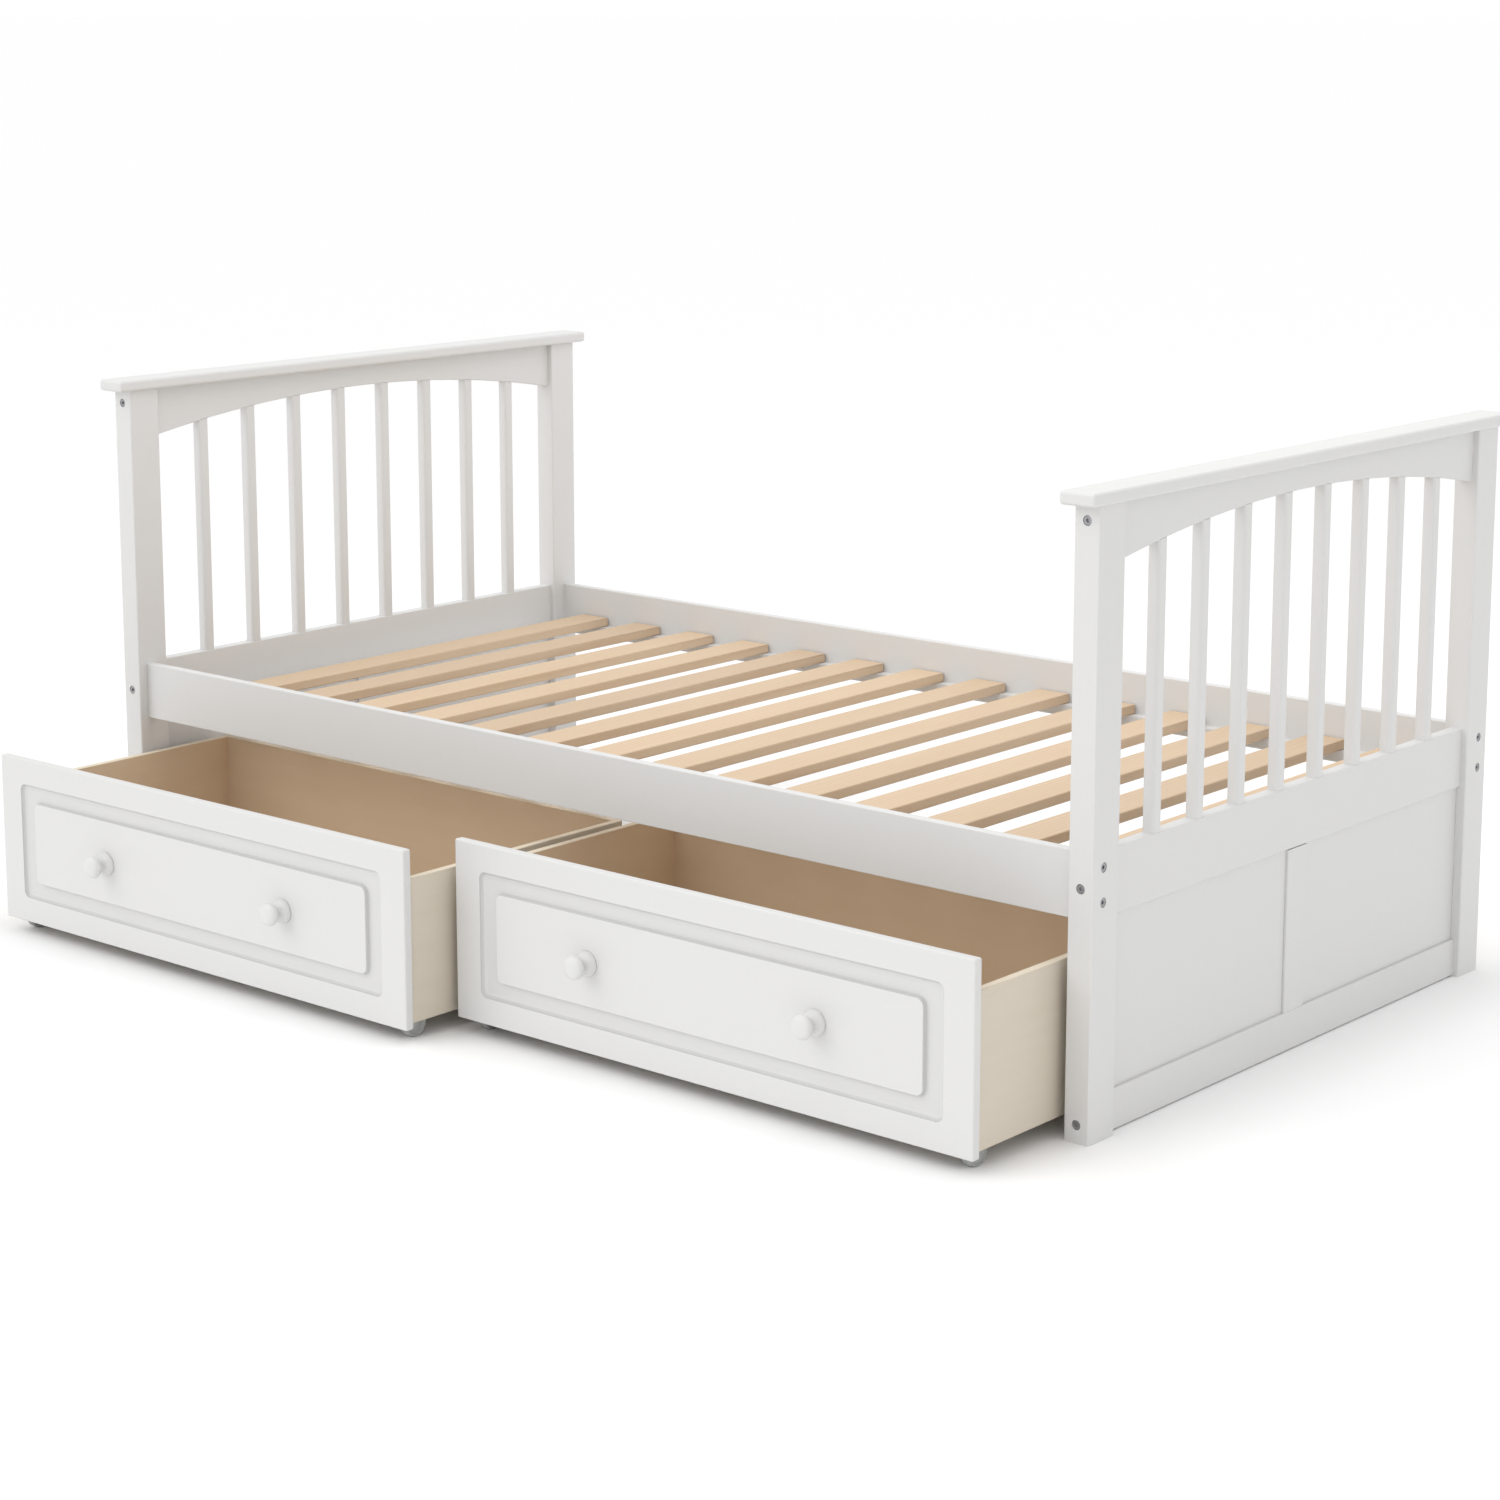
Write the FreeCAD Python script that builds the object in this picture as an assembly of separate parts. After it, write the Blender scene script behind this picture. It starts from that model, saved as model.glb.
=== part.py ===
import FreeCAD, Part
import math
import os

# A wooden bed frame for a single mattress, with two roller drawers under one long side.
# All sizes are millimetres. The origin is on the floor, midway between the four posts.
# +X runs to the foot of the bed, +Z is up, and the drawers open towards -Y.
# The drawers are modelled part way out, as they stand at rest.

Vector = FreeCAD.Vector
X_AXIS = Vector(1, 0, 0)
Y_AXIS = Vector(0, 1, 0)
Z_AXIS = Vector(0, 0, 1)

# Overall sizes, over the outer faces of the posts
BED_LENGTH = 2000.0
BED_WIDTH = 1074.0
BED_HEIGHT = 884.0

# Posts and caps
POST_X = 40.0
POST_Y = 60.0
POST_EDGE = 2.5
CAP_THICKNESS = 19.0
CAP_SIDE_OVERHANG = 8.5
CAP_END_OVERHANG = 25.0
CAP_EDGE = 5.0

# Rails of the two ends
END_RAIL_T = 20.0
RAIL_EDGE = 1.5
ARCH_END_DEPTH = 81.0
ARCH_CROWN_DEPTH = 37.0
MID_RAIL_TOP = 398.0
MID_RAIL_H = 92.0
BOTTOM_RAIL_LIFT = 2.0
BOTTOM_RAIL_H = 58.0

# Upright spindles
SPINDLE_COUNT = 8
SPINDLE_X = 19.0
SPINDLE_Y = 20.0
SPINDLE_EDGE = 4.0
TENON_R = 5.0
TENON_LENGTH = 15.0
TENON_FIT = 0.1

# Thin panels and the stile between them
PANEL_T = 9.0
PANEL_GRIP = 7.0
GROOVE_DEPTH = 8.0
GROOVE_FIT = 0.2
STILE_W = 52.0
STILE_T = 17.0
STILE_TOP_GAP = 2.0

# Side rails, cleats and slats
SIDE_RAIL_T = 15.0
SIDE_RAIL_SETBACK = 17.0
SIDE_RAIL_BOTTOM = 304.0
SIDE_RAIL_H = 94.0
CLEAT_W = 20.0
CLEAT_H = 18.0
CLEAT_LIFT = 7.0
CLEAT_END_GAP = 45.0
SLAT_COUNT = 14
SLAT_W = 65.0
SLAT_T = 16.0
SLAT_PITCH = 134.5
SLAT_END_GAP = 3.0
SLAT_EDGE = 2.0

# Bolts, barrel nuts, screws and dowels
BOLT_R = 3.0
BOLT_FIT = 0.25
BOLT_HEAD_R = 6.5
BOLT_HEAD_H = 4.0
BOLT_HEAD_SINK = 1.0
BOLT_HEAD_ROOM = 0.5
BOLT_REACH = 45.0
SOCKET_FLATS = 5.0
SOCKET_DEPTH = 2.5
NUT_R = 5.0
NUT_FIT = 0.1
NUT_THREAD_FIT = 0.05
NUT_SETBACK = 32.0
NUT_WALL = 2.0
ARCH_BOLT_DROP = 21.0
BOTTOM_BOLT_LIFT = 24.0
SIDE_BOLT_LIFTS = (28.0, 76.0)
SCREW_COUNT = 8
SCREW_R = 2.0
SCREW_HEAD_R = 4.0
SCREW_HEAD_H = 2.5
SCREW_BITE = 10.0
SCREW_FIT = 0.05
DOWEL_R = 4.0
DOWEL_IN_CAP = 12.0
DOWEL_IN_POST = 18.0
DOWEL_FIT = 0.1
ARCH_DOWEL_Y = 200.0

# Drawer fronts
DRAWER_GAP = 5.3
FRONT_T = 15.0
FRONT_BOTTOM = 22.0
FRONT_TOP_GAP = 9.0
FRONT_EDGE = 2.5
FRAME_MARGIN_X = 50.0
FRAME_MARGIN_Z = 41.0
CHANNEL_X = 33.0
CHANNEL_Z = 28.0
CHANNEL_DEPTH = 6.5
CHANNEL_OUTER_SLOPE = 6.0
CHANNEL_INNER_SLOPE = 1.5
CHANNEL_CORNER_R = 12.0

# Drawer boxes
DRAWER_DEPTH = 475.0
BOX_INSET = 8.0
BOX_T = 12.0
BOX_BOTTOM = 28.0
BOX_TOP = 248.0
BOX_EDGE = 1.5
DRAWER_BOTTOM_Z = 52.0
DRAWER_BOTTOM_T = 5.0
DRAWER_BOTTOM_GRIP = 5.0
DRAWER_GROOVE_DEPTH = 6.0

# Knobs: radii and distances out from the drawer's face
KNOB_SPACING = 420.0
KNOB_DROP = 2.5
KNOB_BASE_R = 19.0
KNOB_BASE_RIM = 2.5
KNOB_NECK_R = 6.6
KNOB_NECK_AT = 16.0
KNOB_HEAD_R = 18.0
KNOB_HEAD_AT = 26.5
KNOB_LENGTH = 36.5
KNOB_CROWN_R = 12.0
KNOB_CROWN_RISE = 1.6
KNOB_SPIGOT_R = 5.0
KNOB_SPIGOT_LENGTH = 10.0
KNOB_FIT = 0.1

# Casters
WHEEL_R = 20.0
WHEEL_W = 15.0
WHEEL_SETBACK = 41.0
WHEEL_SIDE_GAP = 1.5
WHEEL_TOP_GAP = 2.0
WHEEL_SHOULDER = 2.0
AXLE_R = 3.0
AXLE_FIT = 0.08
AXLE_HEAD_R = 5.0
AXLE_HEAD_T = 2.0
AXLE_IN_WHEEL = 11.5
AXLE_END_GAP = 0.5
BRACKET_LENGTH = 44.0
BRACKET_ARM_T = 5.0
BRACKET_ARM_R = 9.0
PEG_R = 3.0
PEG_LENGTH = 7.0
PEG_SPREAD = 13.0
PEG_FIT = 0.05

# How far each drawer stands out of the closed position at rest
LEFT_DRAWER_OUT = 312.0
RIGHT_DRAWER_OUT = 213.0

# Sizes that follow from those above
POST_TOP = BED_HEIGHT - CAP_THICKNESS
CLEAR_LENGTH = BED_LENGTH - 2 * POST_X
CLEAR_WIDTH = BED_WIDTH - 2 * POST_Y
POST_CENTRE_X = BED_LENGTH / 2 - POST_X / 2
POST_CENTRE_Y = BED_WIDTH / 2 - POST_Y / 2
MID_RAIL_BOTTOM = MID_RAIL_TOP - MID_RAIL_H
BOTTOM_RAIL_TOP = BOTTOM_RAIL_LIFT + BOTTOM_RAIL_H
SIDE_RAIL_OUTER = BED_WIDTH / 2 - SIDE_RAIL_SETBACK
SIDE_RAIL_INNER = SIDE_RAIL_OUTER - SIDE_RAIL_T
SIDE_RAIL_TOP = SIDE_RAIL_BOTTOM + SIDE_RAIL_H
CLEAT_BOTTOM = SIDE_RAIL_BOTTOM + CLEAT_LIFT
SLAT_BOTTOM = CLEAT_BOTTOM + CLEAT_H
FRONT_W = (CLEAR_LENGTH - 3 * DRAWER_GAP) / 2
FRONT_H = SIDE_RAIL_BOTTOM - FRONT_TOP_GAP - FRONT_BOTTOM
BOX_OUTER = FRONT_W / 2 - BOX_INSET
BOX_INNER = BOX_OUTER - BOX_T
WHEEL_OUTER = BOX_INNER - WHEEL_SIDE_GAP
WHEEL_INNER = WHEEL_OUTER - WHEEL_W
ARM_OUTER = WHEEL_INNER - WHEEL_SIDE_GAP
ARM_INNER = ARM_OUTER - BRACKET_ARM_T

# The underside of the arched rails is part of a circle
ARCH_RISE = ARCH_END_DEPTH - ARCH_CROWN_DEPTH
ARCH_R = ((CLEAR_WIDTH / 2) ** 2 + ARCH_RISE ** 2) / (2 * ARCH_RISE)
ARCH_CENTRE_Z = POST_TOP - ARCH_CROWN_DEPTH - ARCH_R

END_SIGNS = {"head": -1, "foot": 1}
SIDE_SIGNS = {"drawer_side": -1, "closed_side": 1}


def block(low, high):
    """A box between two opposite corners, given in either order."""
    lows = [min(a, b) for a, b in zip(low, high)]
    sizes = [abs(a - b) for a, b in zip(low, high)]
    return Part.makeBox(*sizes, Vector(*lows))


def edges_along(shape, axis):
    """The straight edges of a shape that run along an axis."""
    found = []
    for edge in shape.Edges:
        run = edge.Vertexes[-1].Point - edge.Vertexes[0].Point
        if run.Length > 0 and abs(run.normalize().dot(axis)) > 0.999:
            found.append(edge)
    return found


def softened(shape, radius, axes):
    """The shape with its edges along the given axes rounded."""
    edges = [edge for axis in axes for edge in edges_along(shape, axis)]
    return shape.makeFillet(radius, edges)


def rod(radius, start, direction, length):
    """A cylinder from a start point along a direction."""
    return Part.makeCylinder(radius, length, Vector(*start), direction)


def moved(shape, x=0.0, y=0.0, z=0.0):
    """A copy of a shape, moved."""
    copy = shape.copy()
    copy.translate(Vector(x, y, z))
    return copy


def mirrored_x(shape):
    """A copy of a shape, mirrored to the other end of the bed."""
    return shape.mirror(Vector(0, 0, 0), X_AXIS)


def group(shapes):
    """Several separate solids in one node."""
    return Part.makeCompound(list(shapes))


# Fasteners -------------------------------------------------------------------------------------

def bolt(start, direction, reach):
    """A bolt whose head sits in a counterbore, with its outer face just below the post's face."""
    head_face = Vector(*start) + direction * BOLT_HEAD_SINK
    head = Part.makeCylinder(BOLT_HEAD_R, BOLT_HEAD_H, head_face, direction)
    shank_length = reach - BOLT_HEAD_SINK - BOLT_HEAD_H
    shank_start = head_face + direction * BOLT_HEAD_H
    shank = Part.makeCylinder(BOLT_R, shank_length, shank_start, direction)
    return head.fuse(shank).cut(hex_socket(head_face, direction))


def hex_socket(centre, direction):
    """The hexagonal recess in a bolt's head."""
    across = direction.cross(Z_AXIS)
    corner_r = SOCKET_FLATS / math.sqrt(3)
    corners = []
    for step in range(7):
        angle = math.radians(60 * step)
        corners.append(centre + across * corner_r * math.cos(angle) + Z_AXIS * corner_r * math.sin(angle))
    outline = Part.Face(Part.makePolygon(corners))
    return outline.extrude(direction * SOCKET_DEPTH)


def bolt_hole(start, direction, reach):
    """The counterbore and clearance hole for a bolt."""
    sink = BOLT_HEAD_SINK + BOLT_HEAD_H
    counterbore = rod(BOLT_HEAD_R + BOLT_HEAD_ROOM, start, direction, sink)
    return counterbore.fuse(rod(BOLT_R + BOLT_FIT, start, direction, reach + BOLT_FIT))


def barrel_nut(mouth, direction, rail_t, bolt_direction):
    """A barrel nut in its blind hole, with the cross hole that takes the bolt in mid-rail."""
    body = rod(NUT_R, mouth, direction, rail_t - NUT_WALL - NUT_FIT)
    middle = Vector(*mouth) + direction * (rail_t / 2)
    start = middle - bolt_direction * 2 * NUT_R
    return body.cut(rod(BOLT_R + NUT_THREAD_FIT, start, bolt_direction, 4 * NUT_R))


def end_rail_bolts():
    """Start point, direction and reach of the bolts through the posts into the end rails."""
    heights = (
        POST_TOP - ARCH_BOLT_DROP,
        MID_RAIL_BOTTOM + MID_RAIL_H / 2,
        BOTTOM_RAIL_LIFT + BOTTOM_BOLT_LIFT,
    )
    for end in (-1, 1):
        for side in (-1, 1):
            for height in heights:
                start = (end * POST_CENTRE_X, side * BED_WIDTH / 2, height)
                yield start, Y_AXIS * -side, POST_Y + BOLT_REACH


def side_rail_bolts():
    """Start point, direction and reach of the bolts through the posts into the side rails."""
    for end in (-1, 1):
        for side in (-1, 1):
            for lift in SIDE_BOLT_LIFTS:
                rail_middle = side * (SIDE_RAIL_OUTER - SIDE_RAIL_T / 2)
                start = (end * BED_LENGTH / 2, rail_middle, SIDE_RAIL_BOTTOM + lift)
                yield start, X_AXIS * -end, POST_X + BOLT_REACH


def frame_bolts():
    """All the bolts of the frame."""
    return [bolt(*place) for place in [*end_rail_bolts(), *side_rail_bolts()]]


def frame_bolt_holes():
    """The holes for all the bolts of the frame."""
    return group(bolt_hole(*place) for place in [*end_rail_bolts(), *side_rail_bolts()])


def nut_places():
    """Mouth and direction of each barrel nut, its rail's thickness and its bolt's direction.
    The end rails' nuts go in from the head side, and the side rails' from the closed side."""
    for start, direction, _ in end_rail_bolts():
        side = math.copysign(1, start[1])
        mouth = (start[0] - END_RAIL_T / 2, side * (CLEAR_WIDTH / 2 - NUT_SETBACK), start[2])
        yield mouth, X_AXIS, END_RAIL_T, direction
    for start, direction, _ in side_rail_bolts():
        end = math.copysign(1, start[0])
        mouth = (end * (CLEAR_LENGTH / 2 - NUT_SETBACK), start[1] + SIDE_RAIL_T / 2, start[2])
        yield mouth, -Y_AXIS, SIDE_RAIL_T, direction


def nut_holes():
    """The blind cross holes that take the barrel nuts."""
    holes = []
    for mouth, direction, rail_t, _ in nut_places():
        holes.append(rod(NUT_R + NUT_FIT, mouth, direction, rail_t - NUT_WALL))
    return group(holes)


def cleat_screw_places():
    """The points on the inner faces of the cleats where the screws go in."""
    span = CLEAR_LENGTH - 2 * CLEAT_END_GAP
    step = span / SCREW_COUNT
    for side in (-1, 1):
        for index in range(SCREW_COUNT):
            x = -span / 2 + step * (index + 0.5)
            yield (x, side * (SIDE_RAIL_INNER - CLEAT_W), CLEAT_BOTTOM + CLEAT_H / 2), Y_AXIS * side


def cleat_screw(start, direction, fit=0.0, driven=True):
    """A countersunk screw, or its hole where a fit is given."""
    length = CLEAT_W + SCREW_BITE + fit
    shank = rod(SCREW_R + fit, start, direction, length)
    head = Part.makeCone(SCREW_HEAD_R + fit, SCREW_R + fit, SCREW_HEAD_H, Vector(*start), direction)
    screw = shank.fuse(head)
    if driven:
        for angle in (0, 90):
            slot = Part.makeBox(SCREW_HEAD_R * 1.2, SCREW_R, 1.0)
            slot.translate(Vector(-SCREW_HEAD_R * 0.6, -SCREW_R / 2, -0.5))
            slot.rotate(Vector(0, 0, 0), Y_AXIS, angle)
            slot.translate(Vector(*start))
            screw = screw.cut(slot)
    return screw


def cap_dowel_places():
    """The points on the joint under the caps where the dowels stand."""
    for end in (-1, 1):
        for y in (-POST_CENTRE_Y, -ARCH_DOWEL_Y, ARCH_DOWEL_Y, POST_CENTRE_Y):
            yield (end * POST_CENTRE_X, y, POST_TOP)


def cap_dowel(place, fit=0.0):
    """A dowel across the joint under a cap, or its hole where a fit is given."""
    start = (place[0], place[1], place[2] - DOWEL_IN_POST - fit)
    return rod(DOWEL_R + fit, start, Z_AXIS, DOWEL_IN_POST + DOWEL_IN_CAP + 2 * fit)


def cap_dowel_holes():
    """The holes for all the dowels under the caps."""
    return group(cap_dowel(place, DOWEL_FIT) for place in cap_dowel_places())


# Head and foot ends ----------------------------------------------------------------------------

def panel_slot(low_y, high_y, low_z, high_z):
    """The room for a panel's edge in one end of the bed, in the plane of the posts' middles."""
    half = PANEL_T / 2 + GROOVE_FIT
    return block((POST_CENTRE_X - half, low_y, low_z), (POST_CENTRE_X + half, high_y, high_z))


def post(side):
    """A foot post, with the groove for a panel's edge."""
    outer = side * BED_WIDTH / 2
    inner = side * CLEAR_WIDTH / 2
    body = block((BED_LENGTH / 2 - POST_X, inner, 0), (BED_LENGTH / 2, outer, POST_TOP))
    body = softened(body, POST_EDGE, (Z_AXIS,))
    low = BOTTOM_RAIL_TOP - GROOVE_DEPTH
    high = MID_RAIL_BOTTOM + GROOVE_DEPTH
    return body.cut(panel_slot(inner - side, inner + side * GROOVE_DEPTH, low, high))


def cap():
    """The cap of the foot end."""
    half_x = POST_X / 2 + CAP_SIDE_OVERHANG
    half_y = BED_WIDTH / 2 + CAP_END_OVERHANG
    low = (POST_CENTRE_X - half_x, -half_y, POST_TOP)
    high = (POST_CENTRE_X + half_x, half_y, BED_HEIGHT)
    return softened(block(low, high), CAP_EDGE, (X_AXIS, Y_AXIS, Z_AXIS))


def arch_underside(y):
    """Height of the arched rail's underside at a place across the bed."""
    return ARCH_CENTRE_Z + math.sqrt(ARCH_R ** 2 - y ** 2)


def arch_blank():
    """The arched rail of the foot end, before its edges are softened."""
    x = POST_CENTRE_X - END_RAIL_T / 2
    half = CLEAR_WIDTH / 2
    left = Vector(x, -half, arch_underside(half))
    right = Vector(x, half, arch_underside(half))
    crown = Vector(x, 0, arch_underside(0))
    top_left = Vector(x, -half, POST_TOP)
    top_right = Vector(x, half, POST_TOP)
    outline = [
        Part.Arc(left, crown, right).toShape(),
        Part.LineSegment(right, top_right).toShape(),
        Part.LineSegment(top_right, top_left).toShape(),
        Part.LineSegment(top_left, left).toShape(),
    ]
    return Part.Face(Part.Wire(outline)).extrude(X_AXIS * END_RAIL_T)


def arch_rail():
    """The arched rail of the foot end, with the bores for the spindles' upper tenons."""
    blank = arch_blank()
    curved = [edge for edge in blank.Edges if edge.Curve.TypeId == "Part::GeomCircle"]
    rail = blank.makeChamfer(RAIL_EDGE, curved)
    for y in spindle_places():
        start = (POST_CENTRE_X, y, arch_underside(y) - TENON_R)
        rail = rail.cut(rod(TENON_R + TENON_FIT, start, Z_AXIS, TENON_R + TENON_LENGTH + TENON_FIT))
    return rail


def end_rail(low_z, high_z):
    """A straight rail of the foot end, between the posts."""
    half_x = END_RAIL_T / 2
    half_y = CLEAR_WIDTH / 2
    rail = block((POST_CENTRE_X - half_x, -half_y, low_z), (POST_CENTRE_X + half_x, half_y, high_z))
    return softened(rail, RAIL_EDGE, (Y_AXIS,))


def mid_rail():
    """The middle rail: bores for the spindles above, a groove for the panels below."""
    rail = end_rail(MID_RAIL_BOTTOM, MID_RAIL_TOP)
    half_y = CLEAR_WIDTH / 2
    rail = rail.cut(panel_slot(-half_y, half_y, MID_RAIL_BOTTOM - 1, MID_RAIL_BOTTOM + GROOVE_DEPTH))
    for y in spindle_places():
        start = (POST_CENTRE_X, y, MID_RAIL_TOP - TENON_LENGTH - TENON_FIT)
        rail = rail.cut(rod(TENON_R + TENON_FIT, start, Z_AXIS, TENON_LENGTH + 1))
    return rail


def bottom_rail():
    """The bottom rail, with the groove for the panels along its top."""
    rail = end_rail(BOTTOM_RAIL_LIFT, BOTTOM_RAIL_TOP)
    half_y = CLEAR_WIDTH / 2
    return rail.cut(panel_slot(-half_y, half_y, BOTTOM_RAIL_TOP - GROOVE_DEPTH, BOTTOM_RAIL_TOP + 1))


def spindle_places():
    """The places of the spindles across the bed, evenly spaced between the posts."""
    step = CLEAR_WIDTH / (SPINDLE_COUNT + 1)
    return [-CLEAR_WIDTH / 2 + step * (index + 1) for index in range(SPINDLE_COUNT)]


def spindle(y):
    """An upright with a round tenon at each end, cut at the top to the arched rail."""
    half_x = SPINDLE_X / 2
    low = (POST_CENTRE_X - half_x, y - SPINDLE_Y / 2, MID_RAIL_TOP)
    high = (POST_CENTRE_X + half_x, y + SPINDLE_Y / 2, POST_TOP)
    body = softened(block(low, high), SPINDLE_EDGE, (Z_AXIS,)).cut(arch_blank())
    foot = rod(TENON_R, (POST_CENTRE_X, y, MID_RAIL_TOP - TENON_LENGTH), Z_AXIS, TENON_LENGTH + TENON_R)
    head_start = (POST_CENTRE_X, y, arch_underside(y) - TENON_R)
    head = rod(TENON_R, head_start, Z_AXIS, TENON_R + TENON_LENGTH)
    return body.fuse(foot).fuse(head).removeSplitter()


def centre_stile():
    """The stile between the panels, tongued top and bottom, grooved along both sides."""
    half_x = STILE_T / 2
    half_y = STILE_W / 2
    low = (POST_CENTRE_X - half_x, -half_y, BOTTOM_RAIL_TOP)
    high = (POST_CENTRE_X + half_x, half_y, MID_RAIL_BOTTOM - STILE_TOP_GAP)
    stile = softened(block(low, high), RAIL_EDGE, (Z_AXIS,))
    tongue_y = half_y - GROOVE_DEPTH
    tongue_low = (POST_CENTRE_X - PANEL_T / 2, -tongue_y, BOTTOM_RAIL_TOP - PANEL_GRIP)
    tongue_high = (POST_CENTRE_X + PANEL_T / 2, tongue_y, MID_RAIL_BOTTOM + PANEL_GRIP)
    stile = stile.fuse(block(tongue_low, tongue_high))
    for side in (-1, 1):
        inner = side * (half_y - GROOVE_DEPTH)
        stile = stile.cut(panel_slot(inner, side * (half_y + 1), BOTTOM_RAIL_TOP - 1, MID_RAIL_BOTTOM + 1))
    return stile.removeSplitter()


def end_panel(side):
    """One thin panel, held on all four edges in the grooves round it."""
    inner = side * (STILE_W / 2 - PANEL_GRIP)
    outer = side * (CLEAR_WIDTH / 2 + PANEL_GRIP)
    low = (POST_CENTRE_X - PANEL_T / 2, inner, BOTTOM_RAIL_TOP - PANEL_GRIP)
    high = (POST_CENTRE_X + PANEL_T / 2, outer, MID_RAIL_BOTTOM + PANEL_GRIP)
    return block(low, high)


def end_frame(name):
    """The pieces of one end. They are made at the foot, and mirrored for the head."""
    pieces = {
        name + "_post_drawer_side": post(-1),
        name + "_post_closed_side": post(1),
        name + "_cap": cap(),
        name + "_arch_rail": arch_rail(),
        name + "_mid_rail": mid_rail(),
        name + "_bottom_rail": bottom_rail(),
        name + "_centre_stile": centre_stile(),
        name + "_panels": group(end_panel(side) for side in (-1, 1)),
        name + "_spindles": group(spindle(y) for y in spindle_places()),
    }
    if END_SIGNS[name] < 0:
        pieces = {node: mirrored_x(shape) for node, shape in pieces.items()}
    holes = group([frame_bolt_holes(), nut_holes(), cap_dowel_holes()])
    drilled = ("post", "cap", "rail")
    for node, shape in pieces.items():
        if any(word in node for word in drilled):
            pieces[node] = shape.cut(holes)
    return pieces


# Long sides and slats --------------------------------------------------------------------------

def side_rail(side):
    """A long rail between two posts, drilled for the bolts, nuts and cleat screws."""
    half = CLEAR_LENGTH / 2
    low = (-half, side * SIDE_RAIL_INNER, SIDE_RAIL_BOTTOM)
    high = (half, side * SIDE_RAIL_OUTER, SIDE_RAIL_TOP)
    rail = softened(block(low, high), RAIL_EDGE, (X_AXIS,))
    return rail.cut(group([frame_bolt_holes(), nut_holes(), cleat_screw_holes()]))


def slat_cleat(side):
    """The strip on a side rail's inner face that carries the slats."""
    half = CLEAR_LENGTH / 2 - CLEAT_END_GAP
    low = (-half, side * (SIDE_RAIL_INNER - CLEAT_W), CLEAT_BOTTOM)
    high = (half, side * SIDE_RAIL_INNER, SLAT_BOTTOM)
    return block(low, high).cut(cleat_screw_holes())


def cleat_screw_holes():
    """The holes for all the cleat screws."""
    return group(cleat_screw(*place, SCREW_FIT, False) for place in cleat_screw_places())


def slat(index):
    """One slat, counted from the head, lying on the two cleats."""
    middle = (index - (SLAT_COUNT - 1) / 2) * SLAT_PITCH
    half_y = SIDE_RAIL_INNER - SLAT_END_GAP
    low = (middle - SLAT_W / 2, -half_y, SLAT_BOTTOM)
    high = (middle + SLAT_W / 2, half_y, SLAT_BOTTOM + SLAT_T)
    return softened(block(low, high), SLAT_EDGE, (Y_AXIS,))


# Drawers, each made about its own middle with its front face at Y = 0 ---------------------------

def rounded_outline(half_x, half_z, radius, y):
    """A rounded rectangle, square to the Y axis."""
    middle_z = FRONT_BOTTOM + FRONT_H / 2
    face = block((-half_x, y, middle_z - half_z), (half_x, y + 1, middle_z + half_z))
    rounded = softened(face, radius, (Y_AXIS,))
    flat = [side for side in rounded.Faces if abs(side.CenterOfMass.y - y) < 1e-6]
    return flat[0].OuterWire


def tapered_plug(half_x, half_z, slope):
    """A rounded rectangular plug from the front's face to the bottom of the channel."""
    mouth = rounded_outline(half_x, half_z, CHANNEL_CORNER_R, 0)
    floor = rounded_outline(half_x - slope, half_z - slope, CHANNEL_CORNER_R - slope / 2, CHANNEL_DEPTH)
    return Part.makeLoft([mouth, floor], True, True)


def drawer_front():
    """The front: a board with a routed channel round a raised field, and two knob holes."""
    half_x = FRONT_W / 2
    board = block((-half_x, 0, FRONT_BOTTOM), (half_x, FRONT_T, FRONT_BOTTOM + FRONT_H))
    board = softened(board, FRONT_EDGE, (X_AXIS, Y_AXIS, Z_AXIS))
    outer_x = half_x - FRAME_MARGIN_X
    outer_z = FRONT_H / 2 - FRAME_MARGIN_Z
    recess = tapered_plug(outer_x, outer_z, CHANNEL_OUTER_SLOPE)
    field = tapered_plug(outer_x - CHANNEL_X, outer_z - CHANNEL_Z, -CHANNEL_INNER_SLOPE)
    board = board.cut(recess.cut(field)).cut(bottom_groove())
    for x in knob_places():
        hole_start = (x, 0, knob_height())
        board = board.cut(rod(KNOB_SPIGOT_R + KNOB_FIT, hole_start, Y_AXIS, KNOB_SPIGOT_LENGTH + KNOB_FIT))
    return board


def bottom_groove():
    """The room for the drawer bottom's edges in the four boards round it."""
    grip = DRAWER_GROOVE_DEPTH
    low = (-BOX_INNER - grip, FRONT_T - grip, DRAWER_BOTTOM_Z)
    high = (BOX_INNER + grip, DRAWER_DEPTH - BOX_T + grip, DRAWER_BOTTOM_Z + DRAWER_BOTTOM_T + GROOVE_FIT)
    return block(low, high)


def drawer_bottom():
    """The thin bottom, its edges in the groove."""
    grip = DRAWER_BOTTOM_GRIP
    low = (-BOX_INNER - grip, FRONT_T - grip, DRAWER_BOTTOM_Z)
    high = (BOX_INNER + grip, DRAWER_DEPTH - BOX_T + grip, DRAWER_BOTTOM_Z + DRAWER_BOTTOM_T)
    return block(low, high)


def drawer_side(sign):
    """A side of the box, with the sockets for the caster brackets' pegs."""
    low = (sign * BOX_INNER, FRONT_T, BOX_BOTTOM)
    high = (sign * BOX_OUTER, DRAWER_DEPTH, BOX_TOP)
    board = softened(block(low, high), BOX_EDGE, (Y_AXIS,)).cut(bottom_groove())
    for y in wheel_rows():
        for offset in (-PEG_SPREAD, PEG_SPREAD):
            start = (sign * BOX_INNER, y + offset, peg_height())
            board = board.cut(rod(PEG_R + PEG_FIT, start, X_AXIS * sign, PEG_LENGTH + 2 * PEG_FIT))
    return board


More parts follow.
